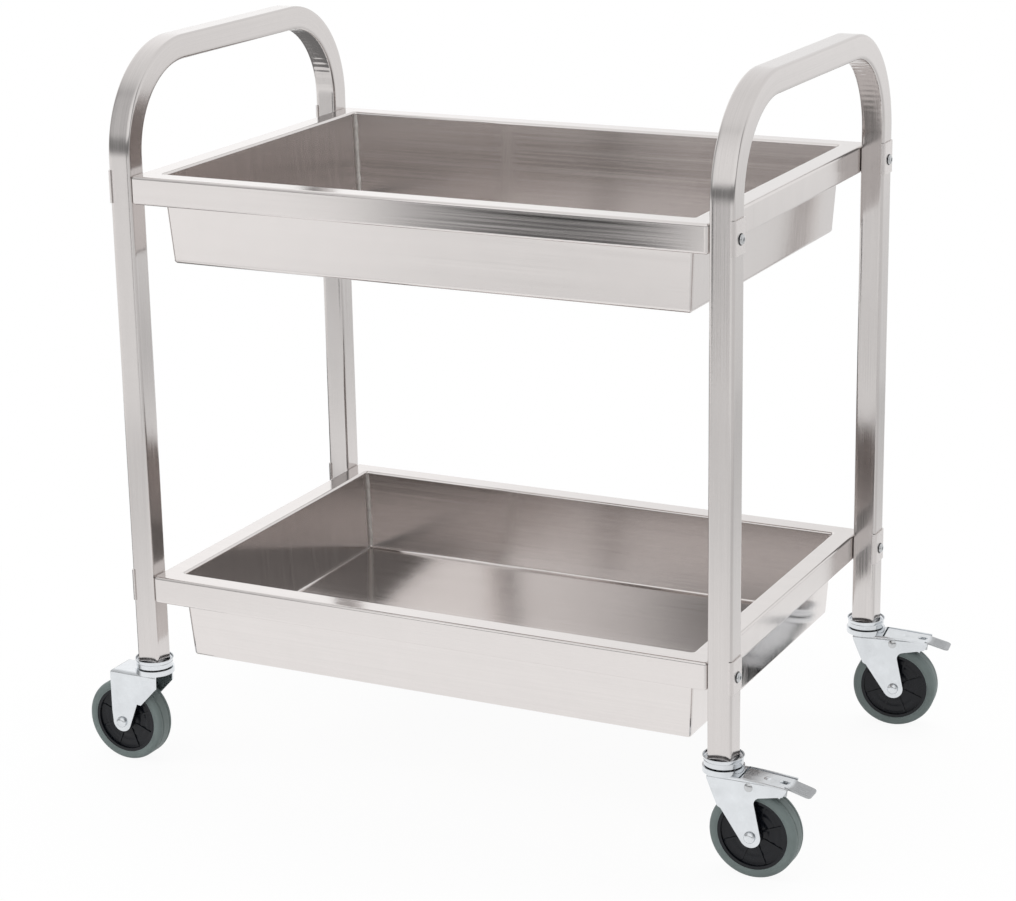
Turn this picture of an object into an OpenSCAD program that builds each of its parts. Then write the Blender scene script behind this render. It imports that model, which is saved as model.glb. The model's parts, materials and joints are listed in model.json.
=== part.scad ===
// Two-tier deep-tray serving trolley on four swivel casters.
// Millimetres. +X runs along the long side to the right, +Y to the back, +Z up.
// The origin is on the floor, under the middle of the whole trolley with its casters as shown.

/* [Overall] */
// Length over the outer faces of the legs
frame_l = 750; // [600:5:1000]
// Depth over the front and back faces of the legs
frame_d = 490; // [400:5:600]
// Height of the handle tops above the floor
frame_h = 852; // [845:1:930]
// Height of the upper tray's rim above the floor
upper_rim_z = 710; // [600:2:716]
// Height of the lower tray's rim above the floor
lower_rim_z = 238; // [224:2:320]

/* [Frame tube] */
// Width of the square tube
tube_w = 28; // [22:0.5:32]
// Wall of the square tube
tube_wall = 1.5; // [1:0.1:2]
// Outer corner radius of the square tube
tube_corner_r = 3; // [2.2:0.1:5]
// Centreline radius of the two handle bends of each end frame
bend_r = 111; // [70:1:116]

/* [Trays] */
// Thickness of the tray sheet
sheet_t = 1.2; // [0.8:0.1:2]
// Width of the flat rim round each tray
rim_w = 26; // [22:0.5:40]
// Height of the apron that hangs from the rim
apron_h = 32; // [26:0.5:45]
// Width of the hem turned in along the foot of the apron
hem_w = 9; // [6:0.5:16]
// Corner radius of the apron seen from above
apron_corner_r = 4; // [3.2:0.1:8]
// Outer radius of the folds along the edges of rim and hem
fold_r = 3; // [2.2:0.1:3.1]
// Depth of each tray from the rim to the underside of its floor
tub_h = 103; // [50:1:116]
// Amount by which the tray walls lean in from top to bottom
tub_draft = 6; // [1:0.5:14]
// Inner radius of the bend between wall and floor
floor_bend_r = 3.5; // [2:0.1:8]
// Corner radius of the flat part of the floor
floor_corner_r = 1.5; // [0.5:0.1:6]
// Clearance between each end of a tray and the legs
tray_gap = 0.2; // [0:0.05:0.5]

/* [Tray fixings] */
// Thickness of the saddle plates on the legs
saddle_t = 1.5; // [1:0.1:3]
// Height by which a saddle plate stands above the rim
saddle_rise = 5; // [0:0.5:10]
// Clearance between a saddle plate and the leg
saddle_gap = 0.1; // [0:0.05:0.3]
// Shank diameter of the tray bolts
bolt_d = 6; // [4:0.5:8]
// Head diameter of the tray bolts
bolt_head_d = 11; // [10:0.5:14]
// Head height of the tray bolts
bolt_head_h = 3.3; // [2.4:0.1:5]
// Width across flats of the socket in each bolt head
bolt_socket = 4; // [2:0.5:5]
// Depth of the socket in each bolt head
bolt_socket_h = 1.6; // [1:0.1:2]
// Length of thread that stands out of each nut
bolt_tail = 2; // [0:0.5:4]
// Radial clearance of the bolt in its drilled holes
bolt_gap = 0.3; // [0.1:0.05:0.6]
// Width across flats of the tray nuts
nut_flats = 10; // [9:0.5:13]
// Height of the tray nuts
nut_h = 5; // [3:0.5:7]
// Diameter of the tray washers
washer_d = 12.5; // [12:0.5:16]
// Thickness of the tray washers
washer_t = 1.2; // [0.8:0.1:2]

/* [Casters] */
// Height of the leg ends above the floor
caster_h = 130; // [122:1:150]
// Diameter of the wheels over the tyre
wheel_d = 100; // [75:1:106]
// Distance of each wheel axle behind its swivel axis
trail = 38; // [28:1:42]
// Angle of the rear right caster about its swivel axis as parked
rear_right_yaw = 8; // [-20:1:20]

/* [Wheels] */
// Width of the tyre
tyre_w = 26; // [18:0.5:27]
// Radial thickness of the tyre
tyre_t = 10; // [7:0.5:14]
// Radius of the tyre's shoulders
tyre_shoulder_r = 4.5; // [2:0.5:6]
// Depth of the two fine grooves round the tread
tread_groove = 0.8; // [0.4:0.1:1.2]
// Distance of the tread grooves from the middle of the tread
tread_groove_v = 6.5; // [3:0.5:7]
// Radial thickness of the hub's outer ring
hub_ring_t = 3.5; // [2:0.5:6]
// Diameter of the hub's central boss
hub_boss_d = 23; // [18:0.5:28]
// Thickness of the hub's middle web
hub_web_t = 5; // [3:0.5:8]
// Number of ribs on each side of the hub
hub_ribs = 8; // [5:1:12]
// Thickness of the hub ribs
hub_rib_t = 2.2; // [1.5:0.1:4]
// Depth of the hub ribs below the edge of the hub ring
hub_rib_drop = 3; // [1:0.5:6]
// Outer diameter of the steel bush in the hub
bush_d = 12; // [10:0.5:14]
// Diameter of the axle bolt
axle_d = 8; // [6:0.5:9]
// Diameter of the axle bolt's round head
axle_head_d = 13; // [11:0.5:16]
// Height of the axle bolt's round head
axle_head_h = 4.5; // [3:0.5:6]
// Width across flats of the axle nut
axle_nut_flats = 13; // [11:0.5:15]
// Height of the axle nut
axle_nut_h = 6; // [4:0.5:8]
// Length of axle thread that stands out of the nut
axle_tail = 1.5; // [0:0.5:3]
// Radial clearance of shafts that turn in their holes
run_gap = 0.05; // [0.02:0.01:0.08]

/* [Caster forks] */
// Steel thickness of the fork
fork_t = 2.5; // [1.5:0.1:3]
// Clear width between the two cheeks of the fork
fork_in = 34; // [32:0.5:40]
// Inner radius of the bend between crown and cheeks
fork_bend = 1.5; // [0.5:0.5:4]
// Radius of the round lower end of each cheek
cheek_tip_r = 12; // [10:0.5:14]
// Distance of the cheek's back edge behind the axle on a fork without a brake
cheek_back = 13; // [12.5:0.5:20]
// Distance in front of the swivel axis at which the cheeks start
cheek_front = 12; // [9:0.5:16]
// Diameter of the raised swivel seat on top of the fork
seat_d = 46; // [42:0.5:50]
// Height of the raised swivel seat above the crown
seat_h = 5; // [3.5:0.5:7]
// Distance of the brake ears' ends behind the swivel axis
ear_end = 78; // [70:1:86]
// Height of the brake ears at their ends
ear_end_h = 7.5; // [5:0.5:9]

/* [Swivel heads] */
// Diameter of the upper race
race_d = 43; // [38:0.5:44]
// Thickness of the upper race
race_t = 2.5; // [2:0.1:3.5]
// Diameter of the kingpin
kingpin_d = 10; // [8:0.5:12]
// Diameter of the kingpin's head under the fork
kingpin_head_d = 20; // [16:0.5:26]
// Height of the kingpin's head
kingpin_head_h = 3.5; // [2.5:0.5:4]
// Diameter of the swivel balls
ball_d = 5; // [4:0.5:5.5]
// Number of balls in each swivel head
ball_count = 16; // [8:1:17]
// Pitch radius of the ball ring
ball_pitch_r = 15; // [14.5:0.5:15.5]
// Length of the plug inside the leg
plug_l = 28; // [18:1:50]
// Thickness of the plug's flange under the leg
plug_flange_t = 2; // [1:0.5:3]
// Clearance of the plug inside the leg
plug_gap = 0.1; // [0.05:0.05:0.3]

/* [Brake pedals] */
// Distance of the pedal pivot behind the swivel axis
pivot_u = 36; // [33:0.5:40]
// Height of the pedal pivot above the top of the wheel
pivot_rise = 7; // [6:0.5:9]
// Diameter of the pivot rivet
rivet_d = 6; // [4:0.5:7]
// Diameter of the pivot rivet's heads
rivet_head_d = 10; // [8:0.5:12]
// Height of the pivot rivet's heads
rivet_head_h = 1.5; // [1:0.1:2.5]
// Steel thickness of pedal and shoe
pedal_t = 2; // [1.5:0.1:2.5]
// Clearance between the pedal and each cheek
pedal_gap = 0.5; // [0.3:0.1:1]
// Height of the pedal's top above its pivot
pedal_rise = 7; // [6:0.5:8]
// Angle by which the released pedal droops towards its end
pedal_droop = 5; // [2:0.5:7]
// Length of the pedal in front of its pivot
pedal_nose = 11; // [7:0.5:11]
// Length of the pedal behind its pivot, as far as the tab
pedal_l = 42; // [36:1:48]
// Length of the foot tab
tab_l = 25; // [16:1:34]
// Width of the foot tab
tab_w = 24; // [16:1:30]
// Angle by which the foot tab bends down from the pedal
tab_angle = 10; // [0:1:25]
// Number of grip ribs on the foot tab
tab_ribs = 5; // [3:1:7]
// Travel of the pedal from released to locked
press_angle = 7; // [4:0.5:7.5]
// Gap left between shoe and tyre when the pedal is down
shoe_gap = 0.5; // [0.4:0.05:1]
// Width of the brake shoe
shoe_w = 20; // [14:1:24]

/* [Hidden] */
$fn = 64;
cut = 1;

CORNERS = ["front_left", "front_right", "rear_left", "rear_right"];
side_x = [-1, 1, -1, 1];
side_y = [-1, -1, 1, 1];
yaw = [180, 0, 180, rear_right_yaw];
braked = [false, true, false, true];
CASTER_PIECES = [
    "leg_plug", "kingpin", "upper_race", "swivel_balls", "fork",
    "axle_bolt", "axle_nut", "wheel_bush", "wheel_hub", "tyre"
];
BRAKE_PIECES = ["brake_pedal", "brake_shoe", "brake_rivet"];
NODES = concat(
    ["left_end_frame", "right_end_frame", "upper_tray", "lower_tray"],
    ["upper_saddle_plates", "lower_saddle_plates", "tray_bolts", "tray_washers", "tray_nuts"],
    [for (c = CORNERS) for (p = CASTER_PIECES) str(c, "_", p)],
    [for (i = [0 : 3]) if (braked[i]) for (p = BRAKE_PIECES) str(CORNERS[i], "_", p)]
);
node = "all";

steel = "#cfcdca";
zinc = "#b9bfc4";
black = "#1d1f22";
grey_rubber = "#6f7b78";

leg_x = (frame_l - tube_w) / 2;
leg_y = (frame_d - tube_w) / 2;
tube_bore = tube_w - 2 * tube_wall;
tube_bore_r = tube_corner_r - tube_wall;
handle_z = frame_h - tube_w / 2;
bend_y = leg_y - bend_r;
bend_z = handle_z - bend_r;

tray_l = frame_l - 2 * tube_w - 2 * tray_gap;
tray_d = frame_d;
wall_top_r = floor_corner_r + floor_bend_r + tub_draft;
rims = [upper_rim_z, lower_rim_z];
bolt_drop = apron_h / 2;
bolt_zs = [for (z = rims) z - bolt_drop];
bolt_r = bolt_d / 2;
head_seat_x = frame_l / 2 + saddle_gap + saddle_t;
washer_x = tray_l / 2 - sheet_t;
nut_x = washer_x - washer_t;

wheel_r = wheel_d / 2;
hub_r = wheel_r - tyre_t;
hub_w = tyre_w - 2;
boss_gap = 0.4;
boss_w = fork_in - 2 * boss_gap;
fork_out = fork_in + 2 * fork_t;
race_top = caster_h - plug_flange_t;
ball_z = race_top - race_t - run_gap - ball_d / 2;
seat_top = ball_z - ball_d / 2 - run_gap;
crown_top = seat_top - seat_h;
crown_foot = crown_top - fork_t;
seat_r = seat_d / 2;
seat_foot = crown_top - fork_t / 2;
seat_bore_inset = 1;
seat_bore_r = fork_in / 2 - fork_bend - seat_bore_inset;
crown_lip = 0.6;
race_r = race_d / 2;
race_skirt_t = 2.5;
race_lift = 1;
race_lip = 0.8;

// Bends in the front edge of the cheeks: places behind the swivel axis and heights above the axle,
// and for the hip its depth below the crown. Forks without a brake have the slimmer cheek.
cheek_neck = [4.5, 28];
cheek_knee = [0.5, 30];
cheek_hip = [-6.7, 16];
slim_neck = [15.5, 25.5];
slim_knee = [10, 25];
slim_hip = [-11.5, 15];
cheek_edge_drop = 3;
tip_bite = 0.05;
// Round notch under the brake ears, its centre measured from the axle
notch_r = 8;
notch_from_axle = [12, 39];
ear_slope = 12;
ear_undercut = 3.6;

pivot_z = wheel_d + pivot_rise;
pivot_at = [pivot_u, pivot_z];
axle_at = [trail, wheel_r];
pedal_w = fork_in - 2 * pedal_gap;
pedal_bend = 1;
pedal_flange_foot = -5;
rivet_r = rivet_d / 2;
shoe_rivet_a = 14;
shoe_rivet_r = 2.2;
shoe_web_a = 22;

tail_reach = fork_out / 2 + axle_nut_h + axle_tail;
head_reach = fork_out / 2 + axle_head_h;
pedal_reach = pivot_u + pedal_l * cos(pedal_droop) + pedal_rise * sin(pedal_droop)
    + tab_l * cos(pedal_droop + tab_angle);
back_reach = max(
    tail_reach,
    trail * sin(rear_right_yaw) + tail_reach * cos(rear_right_yaw) + axle_d / 2 * abs(sin(rear_right_yaw))
);
origin_x = (trail + wheel_r - pedal_reach) / 2;
origin_y = (head_reach - back_reach) / 2;

function wanted(name) = node == "all" || node == name;
function turned(p, a) = [p.x * cos(a) - p.y * sin(a), p.x * sin(a) + p.y * cos(a)];
// Point just inside a cheek's round tip, where a line from p runs along it on the side that s picks
function on_tip(p, s) =
    let (r = cheek_tip_r - tip_bite, d = p - axle_at, a = atan2(d.y, d.x) + s * acos(r / norm(d)))
    axle_at + r * [cos(a), sin(a)];
function arc(c, r, from, to, steps) =
    [for (i = [0 : steps]) let (a = from + (to - from) * i / steps) c + r * [cos(a), sin(a)]];
// Height of the released pedal's top over a place u behind the swivel axis
function pedal_top(u) = pivot_z + pedal_rise / cos(pedal_droop) - (u - pivot_u) * tan(pedal_droop);

// Helpers

module placed() {
    translate([origin_x, origin_y, 0]) children();
}

module at_leg(i) {
    placed() translate([side_x[i] * leg_x, side_y[i] * leg_y, 0]) children();
}

module at_caster(i) {
    at_leg(i) rotate([0, 0, yaw[i]]) children();
}

module rounded_square(w, d, r) {
    square([w - 2 * r, d], center = true);
    square([w, d - 2 * r], center = true);
    for (x = [-1, 1]) {
        for (y = [-1, 1]) {
            translate([x * (w / 2 - r), y * (d / 2 - r)]) circle(r);
        }
    }
}

// Quarter of a ring, in the quadrant that starts at the angle from
module quarter_ring(r_out, r_in, from) {
    intersection() {
        difference() {
            circle(r_out);
            circle(r_in);
        }
        rotate(from) square(r_out + cut);
    }
}

// Carries a section round a rectangle of corner axes w by d, x pointing outwards
module swept_round(w, d) {
    for (i = [0 : 3]) {
        out = i % 2 == 0 ? w : d;
        run = i % 2 == 0 ? d : w;
        rotate([0, 0, 90 * i]) {
            translate([out / 2, 0, 0])
                rotate([90, 0, 0]) linear_extrude(run, center = true) children();
            translate([out / 2, run / 2, 0]) rotate_extrude(angle = 90) children();
        }
    }
}

module across(w) {
    rotate([90, 0, 0]) linear_extrude(w, center = true) children();
}

module cross_hole(r, w) {
    rotate([90, 0, 0]) cylinder(r = r, h = w, center = true);
}

// Section of a bent channel, open downwards
module channel_section(w, wall, bend, top, foot) {
    difference() {
        arch(w, bend + wall, top, foot);
        arch(w - 2 * wall, bend, top - wall, foot - cut);
    }
}

module arch(w, r, top, foot) {
    translate([-w / 2 + r, foot]) square([w - 2 * r, top - foot]);
    translate([-w / 2, foot]) square([w, top - r - foot]);
    for (x = [-1, 1]) {
        translate([x * (w / 2 - r), top - r]) circle(r);
    }
}

module hex_nut(flats, h, bore_r) {
    difference() {
        cylinder(d = flats / cos(30), h = h, $fn = 6);
        translate([0, 0, -cut]) cylinder(r = bore_r, h = h + 2 * cut);
    }
}

// A low domed head that stands on z = 0
module domed_head(d, h) {
    crown_r = (d * d / 4 + h * h) / (2 * h);
    intersection() {
        translate([0, 0, h - crown_r]) sphere(crown_r);
        cylinder(d = d + cut, h = h);
    }
}

// End frames

module tube_section() {
    difference() {
        rounded_square(tube_w, tube_w, tube_corner_r);
        rounded_square(tube_bore, tube_bore, tube_bore_r);
    }
}

module handle_bend(start) {
    rotate([0, 90, 0]) rotate([0, 0, start])
        rotate_extrude(angle = 90) translate([bend_r, 0]) tube_section();
}

module end_frame(side) {
    color(steel)
    placed() translate([side * leg_x, 0, 0]) difference() {
        union() {
            for (y = [-1, 1]) {
                translate([0, y * leg_y, caster_h])
                    linear_extrude(bend_z - caster_h) tube_section();
            }
            translate([0, -bend_y, bend_z]) handle_bend(180);
            translate([0, bend_y, bend_z]) handle_bend(90);
            translate([0, 0, handle_z]) across(2 * bend_y) tube_section();
        }
        for (y = [-1, 1]) {
            for (z = bolt_zs) {
                translate([0, y * leg_y, z]) rotate([0, 90, 0])
                    cylinder(r = bolt_r + bolt_gap, h = tube_w + 2 * cut, center = true);
            }
        }
    }
}

// Trays

module apron_section() {
    straight = apron_h - 2 * fold_r;
    mid_x = apron_corner_r - fold_r;
    translate([mid_x, -fold_r]) quarter_ring(fold_r, fold_r - sheet_t, 0);
    translate([apron_corner_r - sheet_t, -apron_h + fold_r]) square([sheet_t, straight]);
    translate([mid_x, -apron_h + fold_r]) quarter_ring(fold_r, fold_r - sheet_t, 270);
}

module tub_section() {
    foot_z = -tub_h + sheet_t + floor_bend_r;
    foot_x = wall_top_r - tub_draft;
    translate([wall_top_r + fold_r, -fold_r]) quarter_ring(fold_r, fold_r - sheet_t, 90);
    polygon([
        [wall_top_r, -fold_r],
        [wall_top_r + sheet_t, -fold_r],
        [foot_x + sheet_t, foot_z],
        [foot_x, foot_z]
    ]);
    translate([floor_corner_r, foot_z]) quarter_ring(floor_bend_r + sheet_t, floor_bend_r, 270);
}

module flat_ring(l, d, r, inner_l, inner_d, inner_r) {
    linear_extrude(sheet_t) difference() {
        rounded_square(l, d, r);
        rounded_square(inner_l, inner_d, inner_r);
    }
}

module tray(rim_z) {
    edge = 2 * fold_r;
    edge_r = apron_corner_r - fold_r;
    open_l = tray_l - 2 * rim_w;
    open_d = tray_d - 2 * rim_w;
    tub_axes_l = open_l - 2 * wall_top_r;
    tub_axes_d = open_d - 2 * wall_top_r;
    hem_l = tray_l - 2 * hem_w;
    hem_d = tray_d - 2 * hem_w;
    color(steel)
    placed() translate([0, 0, rim_z]) difference() {
        union() {
            swept_round(tray_l - 2 * apron_corner_r, tray_d - 2 * apron_corner_r) apron_section();
            translate([0, 0, -sheet_t])
                flat_ring(tray_l - edge, tray_d - edge, edge_r, open_l + edge, open_d + edge, wall_top_r + fold_r);
            translate([0, 0, -apron_h])
                flat_ring(tray_l - edge, tray_d - edge, edge_r, hem_l, hem_d, edge_r);
            swept_round(tub_axes_l, tub_axes_d) tub_section();
            translate([0, 0, -tub_h]) linear_extrude(sheet_t)
                rounded_square(tub_axes_l + 2 * floor_corner_r, tub_axes_d + 2 * floor_corner_r, floor_corner_r);
        }
        for (x = [-1, 1]) {
            for (y = [-1, 1]) {
                translate([x * (tray_l / 2 - sheet_t / 2), y * leg_y, -bolt_drop]) rotate([0, 90, 0])
                    cylinder(r = bolt_r + bolt_gap, h = sheet_t + 2 * cut, center = true);
            }
        }
    }
}

// Tray fixings

module saddle_plates(rim_z) {
    inner_w = tube_w + 2 * saddle_gap;
    outer_w = inner_w + 2 * saddle_t;
    lip_x = tube_w / 2 - tube_corner_r;
    color(steel)
    placed() for (x = [-1, 1]) {
        for (y = [-1, 1]) {
            translate([x * leg_x, y * leg_y, rim_z - apron_h]) difference() {
                linear_extrude(apron_h + saddle_rise) intersection() {
                    difference() {
                        rounded_square(outer_w, outer_w, tube_corner_r + saddle_gap + saddle_t);
                        rounded_square(inner_w, inner_w, tube_corner_r + saddle_gap);
                    }
                    translate([x * (lip_x + outer_w / 2), 0]) square([outer_w, outer_w + cut], center = true);
                }
                translate([x * tube_w / 2, 0, apron_h - bolt_drop]) rotate([0, 90, 0])
                    cylinder(r = bolt_r + bolt_gap, h = tube_w / 2, center = true);
            }
        }
    }
}

// Repeats its children at all eight tray bolts, with +Z pointing away from the trolley
module at_tray_bolts(x_out) {
    placed() for (x = [-1, 1]) {
        for (y = [-1, 1]) {
            for (z = bolt_zs) {
                translate([x * x_out, y * leg_y, z]) rotate([0, x * 90, 0]) children();
            }
        }
    }
}

module tray_bolts() {
    shank_l = head_seat_x - nut_x + nut_h + bolt_tail;
    color(steel) at_tray_bolts(head_seat_x) {
        difference() {
            union() {
                domed_head(bolt_head_d, bolt_head_h);
                translate([0, 0, -shank_l]) cylinder(r = bolt_r, h = shank_l);
            }
            translate([0, 0, bolt_head_h - bolt_socket_h])
                cylinder(d = bolt_socket / cos(30), h = bolt_socket_h + cut, $fn = 6);
        }
    }
}

module tray_washers() {
    color(steel) at_tray_bolts(nut_x) difference() {
        cylinder(d = washer_d, h = washer_t);
        translate([0, 0, -cut]) cylinder(r = bolt_r + bolt_gap, h = washer_t + 2 * cut);
    }
}

module tray_nuts() {
    color(steel) at_tray_bolts(nut_x - nut_h) hex_nut(nut_flats, nut_h, bolt_r + run_gap);
}

// Swivel heads, drawn round their own axis

module leg_plug() {
    body_w = tube_bore - 2 * plug_gap;
    body_r = max(tube_bore_r - plug_gap, cut / 2);
    color(black) difference() {
        union() {
            translate([0, 0, caster_h]) linear_extrude(plug_l) rounded_square(body_w, body_w, body_r);
            translate([0, 0, race_top]) linear_extrude(plug_flange_t)
                rounded_square(tube_w, tube_w, tube_corner_r);
        }
        translate([0, 0, race_top - cut]) cylinder(d = kingpin_d + 2 * run_gap, h = plug_l + plug_flange_t + 2 * cut);
    }
}

module kingpin() {
    head_top = seat_top - fork_t - run_gap;
    color(zinc) {
        translate([0, 0, head_top - kingpin_head_h]) cylinder(d = kingpin_head_d, h = kingpin_head_h);
        translate([0, 0, head_top - cut]) cylinder(d = kingpin_d, h = caster_h + plug_l - head_top + cut);
    }
}

module upper_race() {
    bore_r = kingpin_d / 2 + run_gap;
    skirt_foot = seat_top + race_lift;
    inner_r = race_r - race_skirt_t;
    color(zinc) rotate_extrude() polygon([
        [bore_r, race_top],
        [race_r - race_lip, race_top],
        [race_r, race_top - race_lip],
        [race_r, skirt_foot + race_lip],
        [race_r - race_lip, skirt_foot],
        [inner_r, skirt_foot],
        [inner_r, race_top - race_t],
        [bore_r, race_top - race_t]
    ]);
}

module swivel_balls() {
    color(zinc) for (i = [0 : ball_count - 1]) {
        rotate([0, 0, 360 * i / ball_count]) translate([ball_pitch_r, 0, ball_z]) sphere(d = ball_d);
    }
}

// Forks, drawn with the swivel axis at the origin and the axle towards +X

// Front edge of a cheek, from the round tip up to the crown
function cheek_front_edge(neck, knee, hip) =
    let (neck_at = [neck.x, wheel_r + neck.y])
    [
        on_tip(neck_at, 1),
        neck_at,
        [knee.x, wheel_r + knee.y],
        [hip.x, crown_foot - hip.y],
        [-cheek_front, crown_foot - cheek_edge_drop]
    ];

module cheek_plain() {
    back_u = trail + cheek_back;
    back_foot = [back_u, wheel_r + cheek_back];
    circle_side = on_tip(back_foot, -1);
    corner_r = 5;
    polygon(concat(
        cheek_front_edge(slim_neck, slim_knee, slim_hip),
        [[-cheek_front, crown_top]],
        arc([back_u - corner_r, crown_top - corner_r], corner_r, 90, 0, 6),
        [back_foot, circle_side]
    ));
    translate(axle_at) circle(cheek_tip_r);
}

// The ear of a braked fork reaches back beside the pedal, over a round notch
module cheek_eared() {
    notch = axle_at + notch_from_axle;
    ear_foot_u = ear_end - ear_undercut;
    ear_start = notch + notch_r * [cos(90 + ear_slope), sin(90 + ear_slope)];
    ear_foot = [ear_foot_u, ear_start.y + (ear_foot_u - ear_start.x) * tan(ear_slope)];
    notch_foot = [notch.x - notch_r, notch.y];
    polygon(concat(
        cheek_front_edge(cheek_neck, cheek_knee, cheek_hip),
        [[-cheek_front, crown_top], [seat_r, crown_top], [ear_end, pedal_top(ear_end)]],
        [[ear_end, pedal_top(ear_end) - ear_end_h / 3], ear_foot],
        arc(notch, notch_r, 90 + ear_slope, 180, 8),
        [on_tip(notch_foot, -1)]
    ));
    translate(axle_at) circle(cheek_tip_r);
}

module fork(has_brake) {
    back_u = has_brake ? ear_end : trail + cheek_back;
    color(zinc) difference() {
        union() {
            intersection() {
                translate([-cheek_front - cut, 0, 0])
                    rotate([90, 0, 90]) linear_extrude(back_u + cheek_front + 2 * cut)
                        channel_section(fork_out, fork_t, fork_bend, crown_top, 0);
                across(fork_out + cut) if (has_brake) {
                    cheek_eared();
                } else {
                    cheek_plain();
                }
            }
            translate([0, 0, seat_foot]) cylinder(d = seat_d, h = seat_top - seat_foot);
        }
        translate([0, 0, crown_foot - cut])
            cylinder(r = seat_bore_r, h = seat_top - fork_t - crown_foot + cut);
        cylinder(d = kingpin_d + 2 * run_gap, h = caster_h);
        translate([trail, 0, wheel_r]) cross_hole(axle_d / 2 + run_gap, fork_out + cut);
        if (has_brake) {
            translate([seat_r + crown_lip, -fork_in / 2, crown_foot - fork_t])
                cube([ear_end, fork_in, 3 * fork_t]);
            translate([pivot_u, 0, pivot_z]) cross_hole(rivet_r + run_gap, fork_out + cut);
        }
    }
}

// Wheels, drawn round their own axle along Y

// Places its children at the axle, with +Z turned to the side given
module at_axle(side) {
    translate([trail, 0, wheel_r]) rotate([side * -90, 0, 0]) children();
}

module axle_bolt(head_side) {
    color(zinc) at_axle(head_side) {
        translate([0, 0, fork_out / 2]) domed_head(axle_head_d, axle_head_h);
        translate([0, 0, -tail_reach]) cylinder(d = axle_d, h = tail_reach + fork_out / 2 + cut);
    }
}

module axle_nut(head_side) {
    color(zinc) at_axle(-head_side) translate([0, 0, fork_out / 2])
        hex_nut(axle_nut_flats, axle_nut_h, axle_d / 2 + run_gap);
}

module wheel_bush() {
    color(zinc) at_axle(1) difference() {
        cylinder(d = bush_d, h = fork_in, center = true);
        cylinder(d = axle_d + 2 * run_gap, h = fork_in + cut, center = true);
    }
}

module wheel_hub() {
    rib_inner = hub_boss_d / 2 - cut;
    rib_outer = hub_r - hub_ring_t + cut;
    rib_w = hub_w - 2 * hub_rib_drop;
    color(black) at_axle(1) difference() {
        union() {
            cylinder(d = hub_boss_d, h = boss_w, center = true);
            cylinder(r = hub_r - cut, h = hub_web_t, center = true);
            difference() {
                cylinder(r = hub_r, h = hub_w, center = true);
                cylinder(r = hub_r - hub_ring_t, h = hub_w + cut, center = true);
            }
            for (i = [0 : hub_ribs - 1]) {
                rotate([0, 0, 360 * (i + 0.5) / hub_ribs])
                    translate([(rib_inner + rib_outer) / 2, 0, 0])
                        cube([rib_outer - rib_inner, hub_rib_t, rib_w], center = true);
            }
        }
        cylinder(d = bush_d + 2 * run_gap, h = boss_w + cut, center = true);
    }
}

module tyre() {
    groove_w = 1.2;
    shoulder = tyre_shoulder_r;
    color(grey_rubber) at_axle(1) rotate_extrude() difference() {
        union() {
            translate([hub_r, -tyre_w / 2]) square([tyre_t - shoulder, tyre_w]);
            translate([hub_r, -tyre_w / 2 + shoulder]) square([tyre_t, tyre_w - 2 * shoulder]);
            for (v = [-1, 1]) {
                translate([wheel_r - shoulder, v * (tyre_w / 2 - shoulder)]) circle(shoulder);
            }
        }
        for (v = [-1, 1]) {
            translate([wheel_r, v * tread_groove_v]) square([2 * tread_groove, groove_w], center = true);
        }
    }
}

// Brake pedals, drawn from their pivot, with +X along the pedal

module at_pedal() {
    translate([pivot_u, 0, pivot_z]) rotate([0, pedal_droop, 0]) children();
}

module brake_pedal() {
    slot_l = 12;
    slot_w = 8;
    slot_r = 3.8;
    slot_a = 33;
    color(zinc) at_pedal() difference() {
        union() {
            intersection() {
                translate([-pedal_nose, 0, 0]) rotate([90, 0, 90]) linear_extrude(pedal_nose + pedal_l)
                    channel_section(pedal_w, pedal_t, pedal_bend, pedal_rise, pedal_flange_foot - cut);
                across(pedal_w + cut) polygon([
                    [-pedal_nose, pedal_rise],
                    [pedal_l, pedal_rise],
                    [pedal_l, pedal_rise - ear_end_h],
                    [pedal_l / 4, pedal_flange_foot],
                    [-pedal_nose / 2, pedal_flange_foot],
                    [-pedal_nose, 0]
                ]);
            }
            translate([pedal_l, 0, pedal_rise]) rotate([0, tab_angle, 0]) foot_tab();
        }
        cross_hole(rivet_r + run_gap, pedal_w + cut);
        translate([shoe_rivet_a, 0, 0]) cylinder(r = shoe_rivet_r + run_gap, h = pedal_rise + cut);
        translate([slot_a, 0, 0]) linear_extrude(pedal_rise + cut)
            rounded_square(slot_l, slot_w, slot_r);
    }
}

// Flat tab with grip ribs, its top at z = 0 and its root at x = 0
module foot_tab() {
    root = pedal_t;
    corner_r = 5;
    rib_l = tab_l - 2 * corner_r;
    rib_r = 1;
    pitch = tab_w / (tab_ribs + 1);
    translate([(tab_l - root) / 2, 0, -pedal_t]) linear_extrude(pedal_t) {
        rounded_square(tab_l + root, tab_w, corner_r);
        translate([-tab_l / 2, 0]) square([root + corner_r, tab_w], center = true);
    }
    for (i = [1 : tab_ribs]) {
        translate([corner_r, -tab_w / 2 + i * pitch, -rib_r / 2]) rotate([0, 90, 0])
            cylinder(r = rib_r, h = rib_l);
    }
}

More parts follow.
